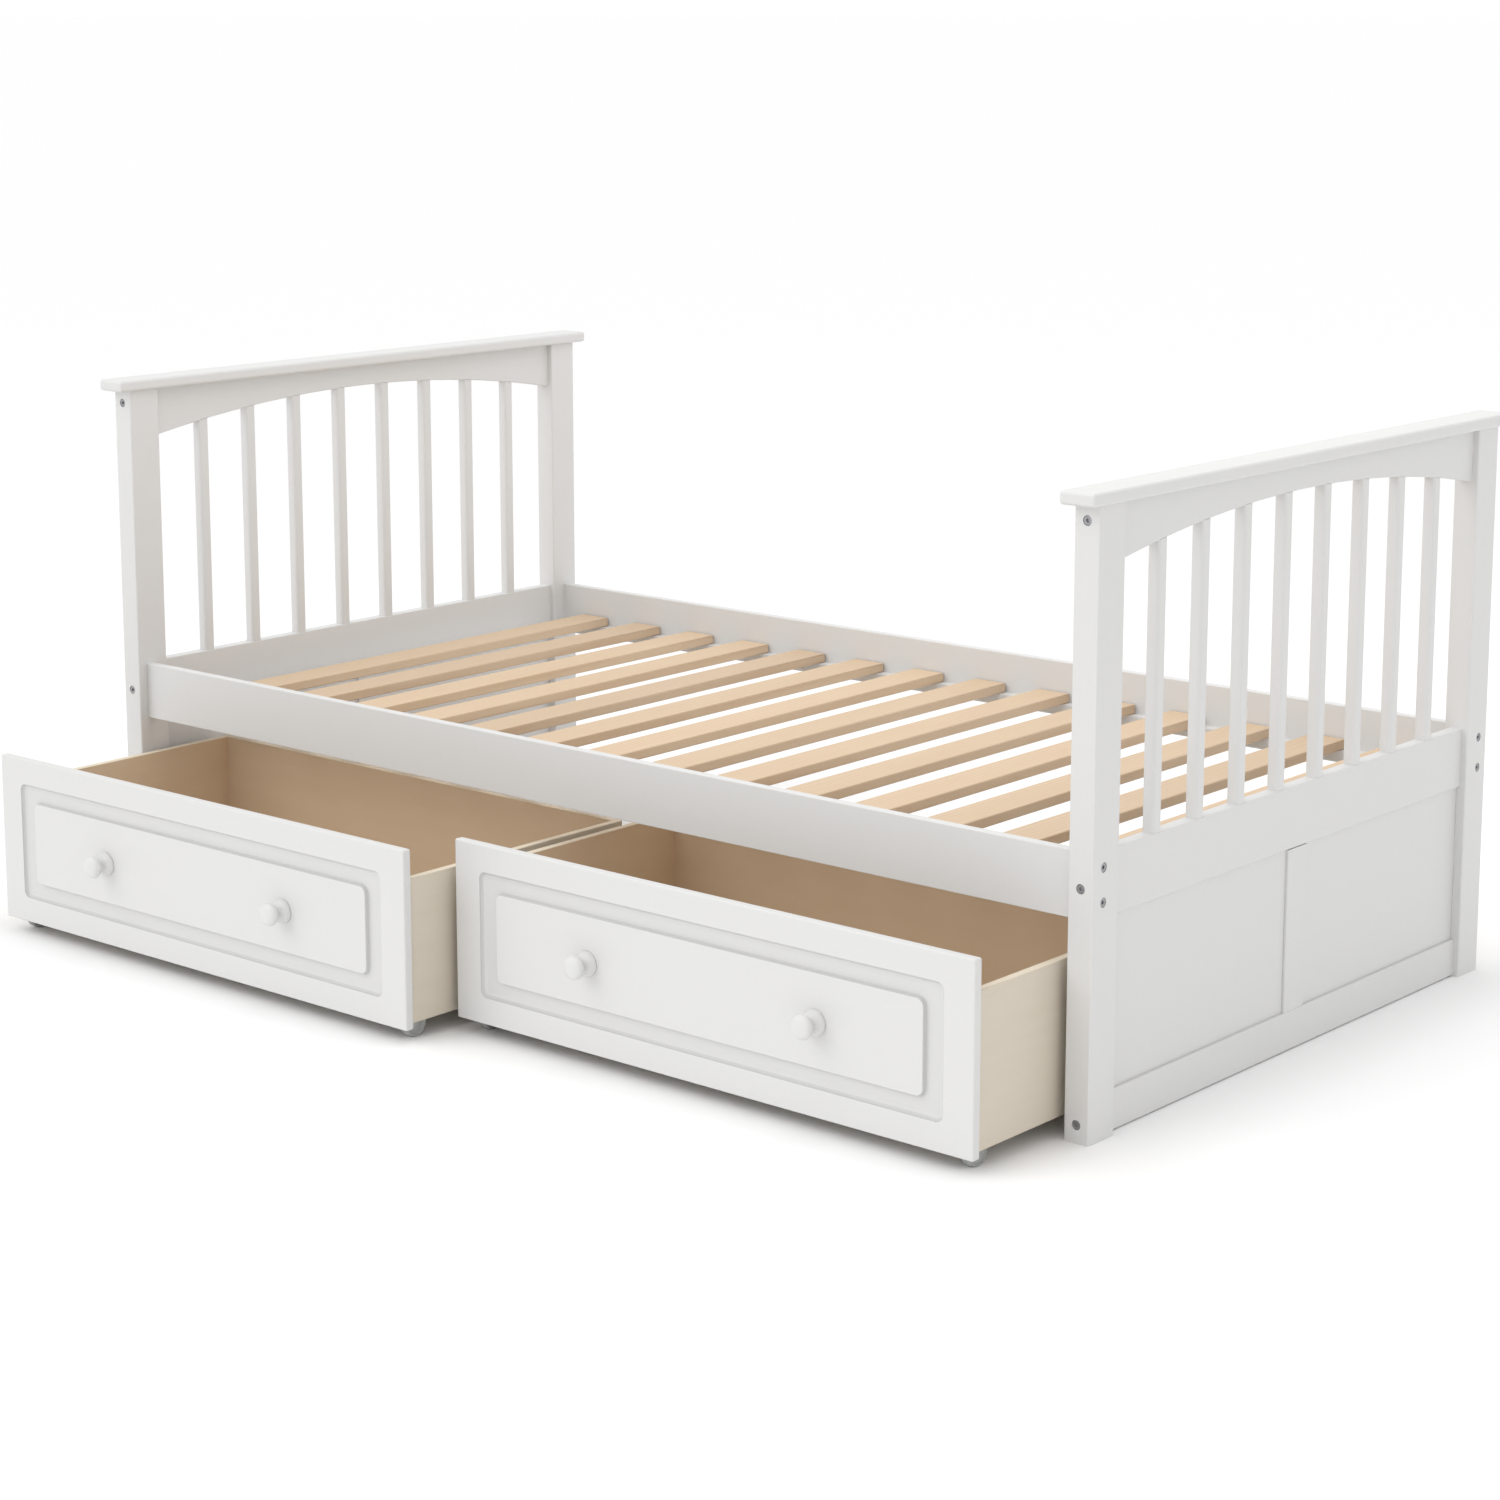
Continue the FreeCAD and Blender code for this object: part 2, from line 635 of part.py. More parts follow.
def drawer_back():
    """The back of the box, between the sides."""
    low = (-BOX_INNER, DRAWER_DEPTH - BOX_T, BOX_BOTTOM)
    high = (BOX_INNER, DRAWER_DEPTH, BOX_TOP)
    return softened(block(low, high), BOX_EDGE, (X_AXIS,)).cut(bottom_groove())


def knob_places():
    """The places of the two knobs across the front."""
    return (-KNOB_SPACING / 2, KNOB_SPACING / 2)


def knob_height():
    """The height of the knobs, a little under the middle of the front."""
    return FRONT_BOTTOM + FRONT_H / 2 - KNOB_DROP


def knob(x):
    """A turned knob: broad foot, slim neck, mushroom head, and a spigot glued in the front."""
    def at(radius, out):
        return Vector(radius, -out, 0)

    neck_low = at(KNOB_NECK_R + 1, KNOB_NECK_AT - 3)
    neck_high = at(KNOB_NECK_R + 1, KNOB_NECK_AT + 3)
    rim = at(KNOB_BASE_R, KNOB_BASE_RIM)
    foot_bulge = at(KNOB_BASE_R * 0.83, KNOB_BASE_RIM + (KNOB_NECK_AT - 3 - KNOB_BASE_RIM) * 0.62)
    widest = at(KNOB_HEAD_R, KNOB_HEAD_AT)
    head_under = at(KNOB_HEAD_R * 0.82, (KNOB_NECK_AT + 3) * 0.7 + KNOB_HEAD_AT * 0.3)
    crown_edge = at(KNOB_CROWN_R, KNOB_LENGTH - KNOB_CROWN_RISE)
    shoulder_at = KNOB_HEAD_AT + (KNOB_LENGTH - KNOB_HEAD_AT) * 0.6
    shoulder = at(KNOB_CROWN_R + (KNOB_HEAD_R - KNOB_CROWN_R) * 0.68, shoulder_at)
    dome_r = (KNOB_CROWN_R ** 2 + KNOB_CROWN_RISE ** 2) / (2 * KNOB_CROWN_RISE)
    dome = Part.Circle(at(0, KNOB_LENGTH - dome_r), Z_AXIS, dome_r)
    pole = -math.pi / 2
    dome_edge = pole + math.asin(KNOB_CROWN_R / dome_r)
    edges = [
        Part.LineSegment(at(0, -KNOB_SPIGOT_LENGTH), at(KNOB_SPIGOT_R, -KNOB_SPIGOT_LENGTH)),
        Part.LineSegment(at(KNOB_SPIGOT_R, -KNOB_SPIGOT_LENGTH), at(KNOB_SPIGOT_R, 0)),
        Part.LineSegment(at(KNOB_SPIGOT_R, 0), at(KNOB_BASE_R, 0)),
        Part.LineSegment(at(KNOB_BASE_R, 0), rim),
        Part.Arc(rim, foot_bulge, neck_low),
        Part.Arc(neck_low, at(KNOB_NECK_R, KNOB_NECK_AT), neck_high),
        Part.Arc(neck_high, head_under, widest),
        Part.Arc(widest, shoulder, crown_edge),
        Part.ArcOfCircle(dome, pole, dome_edge),
        Part.LineSegment(at(0, KNOB_LENGTH), at(0, -KNOB_SPIGOT_LENGTH)),
    ]
    outline = Part.Face(Part.Wire([edge.toShape() for edge in edges]))
    turned = outline.revolve(Vector(0, 0, 0), Y_AXIS, 360)
    return moved(turned, x=x, z=knob_height())


def wheel_rows():
    """The distances of the front and rear wheels behind the drawer's face."""
    return (WHEEL_SETBACK, DRAWER_DEPTH - WHEEL_SETBACK)


def peg_height():
    """The height of the pegs, halfway up the bracket's top block."""
    return (2 * WHEEL_R + WHEEL_TOP_GAP + DRAWER_BOTTOM_Z) / 2


def caster_bracket(sign, y):
    """A moulded bracket: a top block pegged to the drawer's side, and an arm for the axle."""
    half = BRACKET_LENGTH / 2
    block_bottom = 2 * WHEEL_R + WHEEL_TOP_GAP
    top = block((ARM_INNER, y - half, block_bottom), (BOX_INNER, y + half, DRAWER_BOTTOM_Z))
    arm = block((ARM_INNER, y - BRACKET_ARM_R, WHEEL_R), (ARM_OUTER, y + BRACKET_ARM_R, block_bottom))
    arm_end = rod(BRACKET_ARM_R, (ARM_INNER, y, WHEEL_R), X_AXIS, BRACKET_ARM_T)
    bracket = top.fuse(arm).fuse(arm_end)
    bracket = bracket.cut(rod(AXLE_R, (ARM_INNER - 1, y, WHEEL_R), X_AXIS, BRACKET_ARM_T + 2))
    for offset in (-PEG_SPREAD, PEG_SPREAD):
        bracket = bracket.fuse(rod(PEG_R, (BOX_INNER - 1, y + offset, peg_height()), X_AXIS, PEG_LENGTH + 1))
    bracket = bracket.removeSplitter()
    return bracket if sign > 0 else mirrored_x(bracket)


def caster_axle(sign, y):
    """A headed steel pin through the bracket's arm into the wheel."""
    length = BRACKET_ARM_T + WHEEL_SIDE_GAP + AXLE_IN_WHEEL
    pin = rod(AXLE_R, (ARM_INNER, y, WHEEL_R), X_AXIS, length)
    head = rod(AXLE_HEAD_R, (ARM_INNER - AXLE_HEAD_T, y, WHEEL_R), X_AXIS, AXLE_HEAD_T)
    axle = pin.fuse(head)
    return axle if sign > 0 else mirrored_x(axle)


def caster_wheel(sign, y):
    """A plastic roller with a blind bore, a hub that takes the side play, and dished sides."""
    roller = rod(WHEEL_R, (WHEEL_INNER, y, WHEEL_R), X_AXIS, WHEEL_W)
    rims = [edge for edge in roller.Edges if edge.Curve.TypeId == "Part::GeomCircle"]
    roller = roller.makeFillet(WHEEL_SHOULDER, rims)
    hub_r = AXLE_R + 4
    dish_r = WHEEL_R - 4
    for start, depth in ((WHEEL_INNER - 1, 6), (WHEEL_OUTER - 1, 2)):
        dish = rod(dish_r, (start, y, WHEEL_R), X_AXIS, depth)
        roller = roller.cut(dish.cut(rod(hub_r, (start, y, WHEEL_R), X_AXIS, depth)))
    bore_length = AXLE_IN_WHEEL + AXLE_END_GAP
    roller = roller.cut(rod(AXLE_R + AXLE_FIT, (WHEEL_INNER, y, WHEEL_R), X_AXIS, bore_length))
    return roller if sign > 0 else mirrored_x(roller)


def drawer(name, x, out):
    """All the pieces of one drawer, at its place across the bed and its distance out."""
    front_row, rear_row = wheel_rows()
    corners = [(sign, y) for sign in (-1, 1) for y in wheel_rows()]
    pieces = {
        "front": drawer_front(),
        "side_left": drawer_side(-1),
        "side_right": drawer_side(1),
        "back": drawer_back(),
        "bottom": drawer_bottom(),
        "knobs": group(knob(place) for place in knob_places()),
        "caster_brackets": group(caster_bracket(*corner) for corner in corners),
        "caster_axles": group(caster_axle(*corner) for corner in corners),
        "front_wheels": group(caster_wheel(sign, front_row) for sign in (-1, 1)),
        "rear_wheels": group(caster_wheel(sign, rear_row) for sign in (-1, 1)),
    }
    y = -SIDE_RAIL_OUTER - out
    return {name + "_" + node: moved(shape, x=x, y=y) for node, shape in pieces.items()}


# The whole bed ---------------------------------------------------------------------------------

def bed():
    """Every node of the bed, by name."""
    nodes = {}
    for name in END_SIGNS:
        nodes.update(end_frame(name))
    for name, side in SIDE_SIGNS.items():
        nodes[name + "_rail"] = side_rail(side)
        nodes[name + "_cleat"] = slat_cleat(side)
    for index in range(SLAT_COUNT):
        nodes["slat_" + str(index + 1).zfill(2)] = slat(index)
    nodes["frame_bolts"] = group(frame_bolts())
    nodes["barrel_nuts"] = group(barrel_nut(*place) for place in nut_places())
    nodes["cleat_screws"] = group(cleat_screw(*place) for place in cleat_screw_places())
    nodes["cap_dowels"] = group(cap_dowel(place) for place in cap_dowel_places())
    drawer_x = (FRONT_W + DRAWER_GAP) / 2
    nodes.update(drawer("left_drawer", -drawer_x, LEFT_DRAWER_OUT))
    nodes.update(drawer("right_drawer", drawer_x, RIGHT_DRAWER_OUT))
    return nodes


os.makedirs("parts", exist_ok=True)
for node_name, node_shape in bed().items():
    node_shape.exportStep("parts/" + node_name + ".step")
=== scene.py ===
"""Looks for a wooden single bed frame with two roller drawers: paint, timber, hardware and stage."""

import math

import bmesh
import bpy
from bpy.props import FloatProperty, FloatVectorProperty, IntProperty, PointerProperty
from mathutils import Euler, Matrix, Vector


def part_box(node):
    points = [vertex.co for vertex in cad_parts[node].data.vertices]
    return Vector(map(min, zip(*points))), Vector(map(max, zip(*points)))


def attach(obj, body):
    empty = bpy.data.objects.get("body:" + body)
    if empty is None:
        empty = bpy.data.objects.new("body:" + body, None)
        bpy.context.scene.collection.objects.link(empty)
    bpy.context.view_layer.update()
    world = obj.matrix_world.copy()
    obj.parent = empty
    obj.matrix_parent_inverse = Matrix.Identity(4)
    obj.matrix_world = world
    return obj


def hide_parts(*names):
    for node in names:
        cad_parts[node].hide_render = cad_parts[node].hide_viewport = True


bl_info = {
    "name": "Wooden Bed Frame",
    "version": (1, 0, 0),
    "blender": (4, 5, 0),
    "location": "3D View > Sidebar > Bed",
    "description": "Paint, timber, hardware and drawer detail for a slatted single bed",
    "category": "Object",
}

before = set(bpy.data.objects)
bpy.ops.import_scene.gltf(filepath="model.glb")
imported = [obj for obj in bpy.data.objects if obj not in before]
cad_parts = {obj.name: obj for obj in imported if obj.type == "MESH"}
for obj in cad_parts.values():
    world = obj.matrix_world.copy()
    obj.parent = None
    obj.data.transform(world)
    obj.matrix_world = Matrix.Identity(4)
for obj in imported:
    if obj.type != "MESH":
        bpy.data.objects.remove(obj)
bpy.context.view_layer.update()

MM = 0.001
ENDS = ("head", "foot")
LONG_SIDES = ("drawer_side", "closed_side")
DRAWERS = ("left", "right")
SLATS = [node for node in sorted(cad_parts) if node.startswith("slat_")]


# Sizes and colours a user would change ----------------------------------------------------------

class PaintLook(bpy.types.PropertyGroup):
    """The satin paint on the frame, the drawer fronts and the knobs."""

    colour: FloatVectorProperty(
        name="Paint", description="Colour of the satin paint", subtype="COLOR",
        default=(0.70, 0.70, 0.699), min=0.0, max=1.0,
    )
    roughness: FloatProperty(
        name="Sheen", description="Roughness of the dried paint", default=0.42, min=0.05, max=1.0,
    )
    grain_relief: FloatProperty(
        name="Grain relief", description="How far the wood's grain shows through the paint",
        default=0.00008, min=0.0, max=0.001, unit="LENGTH", precision=5,
    )


class TimberLook(bpy.types.PropertyGroup):
    """The bare slats and the lacquered drawer boxes."""

    slat_light: FloatVectorProperty(
        name="Early wood", description="Pale wood between the slats' growth rings", subtype="COLOR",
        default=(0.69, 0.53, 0.37), min=0.0, max=1.0,
    )
    slat_dark: FloatVectorProperty(
        name="Late wood", description="Darker growth rings of the slats", subtype="COLOR",
        default=(0.58, 0.39, 0.235), min=0.0, max=1.0,
    )
    box_outside: FloatVectorProperty(
        name="Box outside", description="Veneer outside the drawer boxes", subtype="COLOR",
        default=(0.69, 0.625, 0.53), min=0.0, max=1.0,
    )
    # A darker, warmer copy of the veneer for the boxes' inner faces: painted shade and bounce light inside
    # the drawers.
    box_inside: FloatVectorProperty(
        name="Box inside", description="Veneer inside the drawer boxes", subtype="COLOR",
        default=(0.71, 0.57, 0.42), min=0.0, max=1.0,
    )


class DetailSizes(bpy.types.PropertyGroup):
    """Sizes of the moulded, routed and turned detail."""

    cap_edge: FloatProperty(
        name="Cap edge", description="Rounding of the caps' edges", default=0.005, unit="LENGTH",
    )
    spindle_edge: FloatProperty(
        name="Spindle edge", description="Rounding of the spindles' edges", default=0.004, unit="LENGTH",
    )
    slat_edge: FloatProperty(
        name="Slat edge", description="Rounding of the slats' long edges", default=0.002, unit="LENGTH",
    )
    front_edge: FloatProperty(
        name="Front edge", description="Rounding of the drawer fronts' edges", default=0.0025, unit="LENGTH",
    )
    arch_crown: FloatProperty(
        name="Arch crown", description="Height of the arched rails' underside at its middle",
        default=0.828, unit="LENGTH",
    )
    spindles: IntProperty(name="Spindles", description="Spindles in each end", default=8, min=2)
    margin_x: FloatProperty(
        name="Side margin", description="Flat margin at each end of a drawer front",
        default=0.050, unit="LENGTH",
    )
    margin_z: FloatProperty(
        name="Edge margin", description="Flat margin along a drawer front's long edges",
        default=0.041, unit="LENGTH",
    )
    channel_x: FloatProperty(
        name="Channel, ends", description="Width of the routed channel at the ends",
        default=0.033, unit="LENGTH",
    )
    channel_z: FloatProperty(
        name="Channel, long sides", description="Width of the routed channel along the long sides",
        default=0.028, unit="LENGTH",
    )
    channel_depth: FloatProperty(
        name="Channel depth", description="Depth of the routed channel", default=0.0065, unit="LENGTH",
    )
    channel_corner: FloatProperty(
        name="Channel corner", description="Corner radius of the routed channel",
        default=0.012, unit="LENGTH",
    )


class StageLook(bpy.types.PropertyGroup):
    """The floor, the light and the camera."""

    floor_colour: FloatVectorProperty(
        name="Floor", description="Colour of the pale floor", subtype="COLOR",
        default=(0.98, 0.98, 0.98), min=0.0, max=1.0,
    )
    horizon_light: FloatProperty(
        name="Wall light", description="Light from the pale walls of the room", default=1.0, min=0.0,
    )
    zenith_light: FloatProperty(
        name="Ceiling light", description="Light from the ceiling of the room", default=0.80, min=0.0,
    )
    foot_wall: FloatProperty(
        name="Foot wall", description="Share of the light that the wall beyond the foot end gives",
        default=0.91, min=0.0, max=1.0,
    )
    window_light: FloatProperty(
        name="Window light", description="Strength of the soft light from the drawers' side",
        default=0.75, min=0.0,
    )
    lamp_power: FloatProperty(
        name="Lamp", description="Power of the soft lamp over the bed", default=28.0, min=0.0, unit="POWER",
    )
    lens: FloatProperty(
        name="Lens", description="Focal length of the camera", default=77.715, min=10.0, unit="CAMERA",
    )


class BedLooks(bpy.types.PropertyGroup):
    """Everything the panel shows."""

    paint: PointerProperty(type=PaintLook)
    timber: PointerProperty(type=TimberLook)
    sizes: PointerProperty(type=DetailSizes)
    stage: PointerProperty(type=StageLook)


# Materials --------------------------------------------------------------------------------------

def from_hex(code):
    """An sRGB colour such as 'A4A5A3' as linear red, green and blue."""
    channels = [int(code[i:i + 2], 16) / 255 for i in (0, 2, 4)]
    return tuple(c / 12.92 if c <= 0.04045 else ((c + 0.055) / 1.055) ** 2.4 for c in channels)


def add_node(tree, kind, inputs=None, **settings):
    """A shader node with its settings and inputs. An input given as an output socket is linked."""
    node = tree.nodes.new("ShaderNode" + kind)
    for name, value in settings.items():
        setattr(node, name, value)
    for name, value in (inputs or {}).items():
        if isinstance(value, bpy.types.NodeSocket):
            tree.links.new(value, node.inputs[name])
        else:
            node.inputs[name].default_value = value
    return node


def new_material(name, base, roughness, metallic=0.0):
    """A material with one principled shader, and that shader."""
    material = bpy.data.materials.new(name)
    material.use_nodes = True
    shader = material.node_tree.nodes["Principled BSDF"]
    shader.inputs["Base Color"].default_value = (*base, 1.0)
    shader.inputs["Roughness"].default_value = roughness
    shader.inputs["Metallic"].default_value = metallic
    material.diffuse_color = (*base, 1.0)
    return material, shader


def maths(tree, operation, first, second=0.0, third=0.0):
    """The output of one sum on up to three numbers or sockets."""
    node = add_node(tree, "Math", {0: first, 1: second, 2: third}, operation=operation)
    return node.outputs[0]


def stretched(tree, axis, stretch, shift=None):
    """Object coordinates in metres, drawn out along one axis by a factor."""
    place = add_node(tree, "TexCoord").outputs["Object"]
    if shift is not None:
        place = add_node(tree, "VectorMath", {0: place, 1: shift}, operation="ADD").outputs[0]
    scale = [1.0, 1.0, 1.0]
    scale["XYZ".index(axis)] = 1.0 / stretch
    return add_node(tree, "Mapping", {"Vector": place, "Scale": scale}).outputs[0]


def noise(tree, place, grain_mm, detail=2.0, roughness=0.5):
    """Noise whose features are about so many millimetres across."""
    inputs = {"Vector": place, "Scale": 1.0 / (grain_mm * MM), "Detail": detail, "Roughness": roughness}
    return add_node(tree, "TexNoise", inputs).outputs[0]


def spread(tree, value, low, high):
    """A number from 0 to 1 turned to the range from low to high."""
    return add_node(tree, "MapRange", {"Value": value, "To Min": low, "To Max": high}).outputs[0]


def blend_colours(tree, factor, first, second, mode="MIX"):
    """One colour blended with another."""
    node = add_node(tree, "Mix", data_type="RGBA", blend_type=mode)
    for socket, value in ((node.inputs[0], factor), (node.inputs[6], first), (node.inputs[7], second)):
        if isinstance(value, bpy.types.NodeSocket):
            tree.links.new(value, socket)
        elif isinstance(value, float):
            socket.default_value = value
        else:
            socket.default_value = (*value[:3], 1.0)
    return node.outputs[2]


def relief(tree, shader, height, depth, below=None):
    """Bumps of a depth in metres on the shader's normal, over an earlier layer of bumps."""
    inputs = {"Height": height, "Distance": depth, "Strength": 1.0}
    if below is not None:
        inputs["Normal"] = below
    bump = add_node(tree, "Bump", inputs).outputs[0]
    tree.links.new(bump, shader.inputs["Normal"])
    return bump


def satin_paint(name, axis, look, tone=1.0):
    """Sprayed satin paint on wood: the grain telegraphs faintly along the board, over a fine
    orange-peel, and the white drifts very slightly warmer and cooler across each board."""
    # A tone below one darkens the paint: painted shade in the drawer fronts' routed channel.
    colour = tuple(c * tone for c in look.colour)
    material, shader = new_material(name, colour, look.roughness)
    tree = material.node_tree
    even = stretched(tree, axis, 1.0)
    along = stretched(tree, axis, 14.0)
    drift = noise(tree, even, 260.0, 1.0)
    warm = tuple(c * k for c, k in zip(colour, (1.0, 0.992, 0.975)))
    shade = blend_colours(tree, drift, colour, warm)
    fibres = noise(tree, along, 1.6, 3.0, 0.6)
    faint = spread(tree, fibres, 0.975, 1.015)
    shade = blend_colours(tree, 1.0, shade, grey(tree, faint), "MULTIPLY")
    tree.links.new(shade, shader.inputs["Base Color"])
    gloss = spread(tree, noise(tree, even, 35.0, 3.0), look.roughness - 0.05, look.roughness + 0.06)
    tree.links.new(gloss, shader.inputs["Roughness"])
    peel = relief(tree, shader, noise(tree, even, 1.1, 1.0), look.grain_relief * 0.3)
    relief(tree, shader, fibres, look.grain_relief, peel)
    shader.inputs["Coat Weight"].default_value = 0.08
    shader.inputs["Coat Roughness"].default_value = 0.25
    return material


def grey(tree, value):
    """A number as an even colour."""
    return add_node(tree, "CombineColor", {0: value, 1: value, 2: value}).outputs[0]


def bare_pine(look, pitch, count):
    """Planed pine slats: wavering growth rings and silky fibres run along each slat, and each one
    is cut from its own part of the plank, a little lighter, darker or redder than the next."""
    light, dark = tuple(look.slat_light), tuple(look.slat_dark)
    material, shader = new_material("planed_pine", light, 0.55)
    tree = material.node_tree
    place = add_node(tree, "SeparateXYZ", {0: add_node(tree, "TexCoord").outputs["Object"]})
    number = maths(tree, "FLOOR", maths(tree, "MULTIPLY_ADD", place.outputs[0], 1.0 / pitch, count / 2))
    own = add_node(tree, "TexWhiteNoise", {"W": number}, noise_dimensions="1D")
    plank = add_node(tree, "VectorMath", {0: own.outputs["Color"], "Scale": 3.0}, operation="SCALE")
    shift = plank.outputs[0]
    along = stretched(tree, "Y", 16.0, shift)
    ring_width = 9.24 * MM
    # A wave texture of scale 1 has a band every tau / 20.
    ring_scale = math.tau / (20 * ring_width)
    rings = add_node(
        tree, "TexWave",
        {"Vector": along, "Scale": ring_scale, "Distortion": 7.0, "Detail": 2.5, "Detail Scale": 0.7},
        bands_direction="X",
    ).outputs["Fac"]
    fibres = noise(tree, stretched(tree, "Y", 45.0, shift), 0.9, 3.0, 0.65)
    clouds = noise(tree, stretched(tree, "Y", 4.0, shift), 45.0, 3.0)
    ring_share = maths(tree, "MULTIPLY", maths(tree, "POWER", rings, 2.2), 0.34)
    amount = maths(tree, "MULTIPLY_ADD", fibres, 0.38, ring_share)
    amount = maths(tree, "MULTIPLY_ADD", clouds, 0.30, maths(tree, "SUBTRACT", amount, 0.22))
    wood = blend_colours(tree, maths(tree, "MINIMUM", amount, 1.0), light, dark)
    tone = spread(tree, own.outputs["Value"], 0.93, 1.04)
    wood = blend_colours(tree, 1.0, wood, grey(tree, tone), "MULTIPLY")
    pores = noise(tree, stretched(tree, "Y", 30.0, shift), 1.4, 2.0)
    flecks = add_node(tree, "MapRange", {"Value": pores, "From Min": 0.66, "From Max": 0.80}).outputs[0]
    wood = blend_colours(tree, maths(tree, "MULTIPLY", flecks, 0.35), wood, from_hex("B98A5A"))
    tree.links.new(wood, shader.inputs["Base Color"])
    tree.links.new(spread(tree, fibres, 0.48, 0.66), shader.inputs["Roughness"])
    relief(tree, shader, fibres, 0.00012)
    return material


def birch_ply(name, axis, colour):
    """Clear-lacquered birch veneer: a calm, fine, slightly cloudy grain along the board."""
    colour = tuple(colour)
    material, shader = new_material(name, colour, 0.45)
    tree = material.node_tree
    figure = noise(tree, stretched(tree, axis, 9.0), 22.0, 4.0, 0.55)
    fibres = noise(tree, stretched(tree, axis, 30.0), 1.2, 3.0, 0.6)
    deep = tuple(c * k for c, k in zip(colour, (0.90, 0.87, 0.82)))
    amount = maths(tree, "MULTIPLY_ADD", fibres, 0.55, maths(tree, "MULTIPLY", figure, 0.6))
    veneer = blend_colours(tree, maths(tree, "SUBTRACT", amount, 0.12), colour, deep)
    tree.links.new(veneer, shader.inputs["Base Color"])
    tree.links.new(spread(tree, fibres, 0.38, 0.52), shader.inputs["Roughness"])
    relief(tree, shader, fibres, 0.00005)
    return material


def ply_edge(name, axis, colour):
    """The sanded edge of a plywood board: pale and darker plies, each 1.4 mm, in layers."""
    pale = tuple(min(1.0, c * k) for c, k in zip(colour, (1.16, 1.14, 1.08)))
    dark = tuple(c * k for c, k in zip(colour, (0.86, 0.80, 0.70)))
    material, shader = new_material(name, pale, 0.6)
    tree = material.node_tree
    place = add_node(tree, "SeparateXYZ", {0: add_node(tree, "TexCoord").outputs["Object"]})
    ply = 1.4 * MM
    layers = maths(tree, "PINGPONG", place.outputs["XYZ".index(axis)], ply)
    layers = maths(tree, "MULTIPLY", layers, 1.0 / ply)
    grain = noise(tree, stretched(tree, axis, 1.0), 3.0, 2.0)
    wood = blend_colours(tree, maths(tree, "MULTIPLY", layers, grain), pale, dark)
    tree.links.new(wood, shader.inputs["Base Color"])
    relief(tree, shader, layers, 0.00004)
    return material


def zinc_plate():
    """Dull zinc plating: a soft grey metal, clouded, with fine turning marks."""
    material, shader = new_material("zinc_plating", from_hex("A9A9AC"), 0.36, 1.0)
    tree = material.node_tree
    even = stretched(tree, "X", 1.0)
    cloud = noise(tree, even, 3.0, 3.0)
    tree.links.new(spread(tree, cloud, 0.28, 0.46), shader.inputs["Roughness"])
    tone = blend_colours(tree, cloud, from_hex("B4B4B6"), from_hex("8E8F93"))
    tree.links.new(tone, shader.inputs["Base Color"])
    relief(tree, shader, noise(tree, even, 0.35, 1.0), 0.00002)
    return material


def grey_nylon():
    """Moulded grey nylon for the wheels and brackets: slightly glossy, faintly mottled."""
    material, shader = new_material("moulded_nylon", from_hex("A6A8A6"), 0.38)
    tree = material.node_tree
    even = stretched(tree, "X", 1.0)
    mottle = noise(tree, even, 6.0, 3.0)
    tone = blend_colours(tree, mottle, from_hex("ACAEAC"), from_hex("9B9D9B"))
    tree.links.new(tone, shader.inputs["Base Color"])
    tree.links.new(spread(tree, mottle, 0.30, 0.46), shader.inputs["Roughness"])
    relief(tree, shader, noise(tree, even, 0.6, 1.0), 0.00003)
    return material


def turned_beech():
    """Plain beech dowel: pinkish brown with short dark flecks along it."""
    material, shader = new_material("turned_beech", from_hex("D3AE86"), 0.6)
    tree = material.node_tree
    flecks = noise(tree, stretched(tree, "Z", 6.0), 0.8, 2.0)
    tone = blend_colours(tree, flecks, from_hex("DDBB95"), from_hex("B98C62"))
    tree.links.new(tone, shader.inputs["Base Color"])
    relief(tree, shader, flecks, 0.00005)
    return material


def shared(name, make, *details):
    """A material made once and used by several pieces."""
    return bpy.data.materials.get(name) or make(*details)


def paint(axis):
    """The satin paint with its grain along X, Y or Z."""
    name = "satin_white_paint_" + axis.lower()
    return shared(name, satin_paint, name, axis, bpy.context.scene.bed_looks.paint)


def shaded_channel_paint(part, tone):
    """The satin paint darkened by a tone: painted shade on the floor and walls of the drawer fronts' routed
    channel.
    """
    name = "satin_white_paint_" + part
    return shared(name, satin_paint, name, "X", bpy.context.scene.bed_looks.paint, tone)


def veneer(side, axis):
    """The drawer boxes' veneer with its grain along an axis; the inside copy is darker and warmer, painted
    shade and bounce light in the drawers.
    """
    timber = bpy.context.scene.bed_looks.timber
    name = "birch_ply_" + side + "_" + axis.lower()
    return shared(name, birch_ply, name, axis, getattr(timber, "box_" + side))


def edge_plies(axis):
    """The drawer boxes' plywood edge, with its layers across an axis."""
    name = "ply_edge_" + axis.lower()
    return shared(name, ply_edge, name, axis, tuple(bpy.context.scene.bed_looks.timber.box_outside))


def zinc():
    """The hardware's zinc plating."""
    return shared("zinc_plating", zinc_plate)


# Making pieces ----------------------------------------------------------------------------------

def box_board(bm, low, high, soft=0.0, steps=4, along="XYZ"):
    """Adds a board between two corners, its edges along the named axes rounded."""
    low, high = Vector(low), Vector(high)
    verts = bmesh.ops.create_cube(bm, size=1.0)["verts"]
    bmesh.ops.scale(bm, vec=high - low, verts=verts)
    bmesh.ops.translate(bm, vec=(low + high) / 2, verts=verts)
    if soft > 0:
        edges = {edge for vert in verts for edge in vert.link_edges}
        edges = [edge for edge in edges if run_axis(edge) in along]
        bmesh.ops.bevel(
            bm, geom=edges, offset=soft, segments=steps, profile=0.5, affect="EDGES",
            material=-1, clamp_overlap=True,
        )


def run_axis(edge):
    """The axis that a board's edge runs along."""
    run = edge.verts[1].co - edge.verts[0].co
    return "XYZ"[max(range(3), key=lambda i: abs(run[i]))]


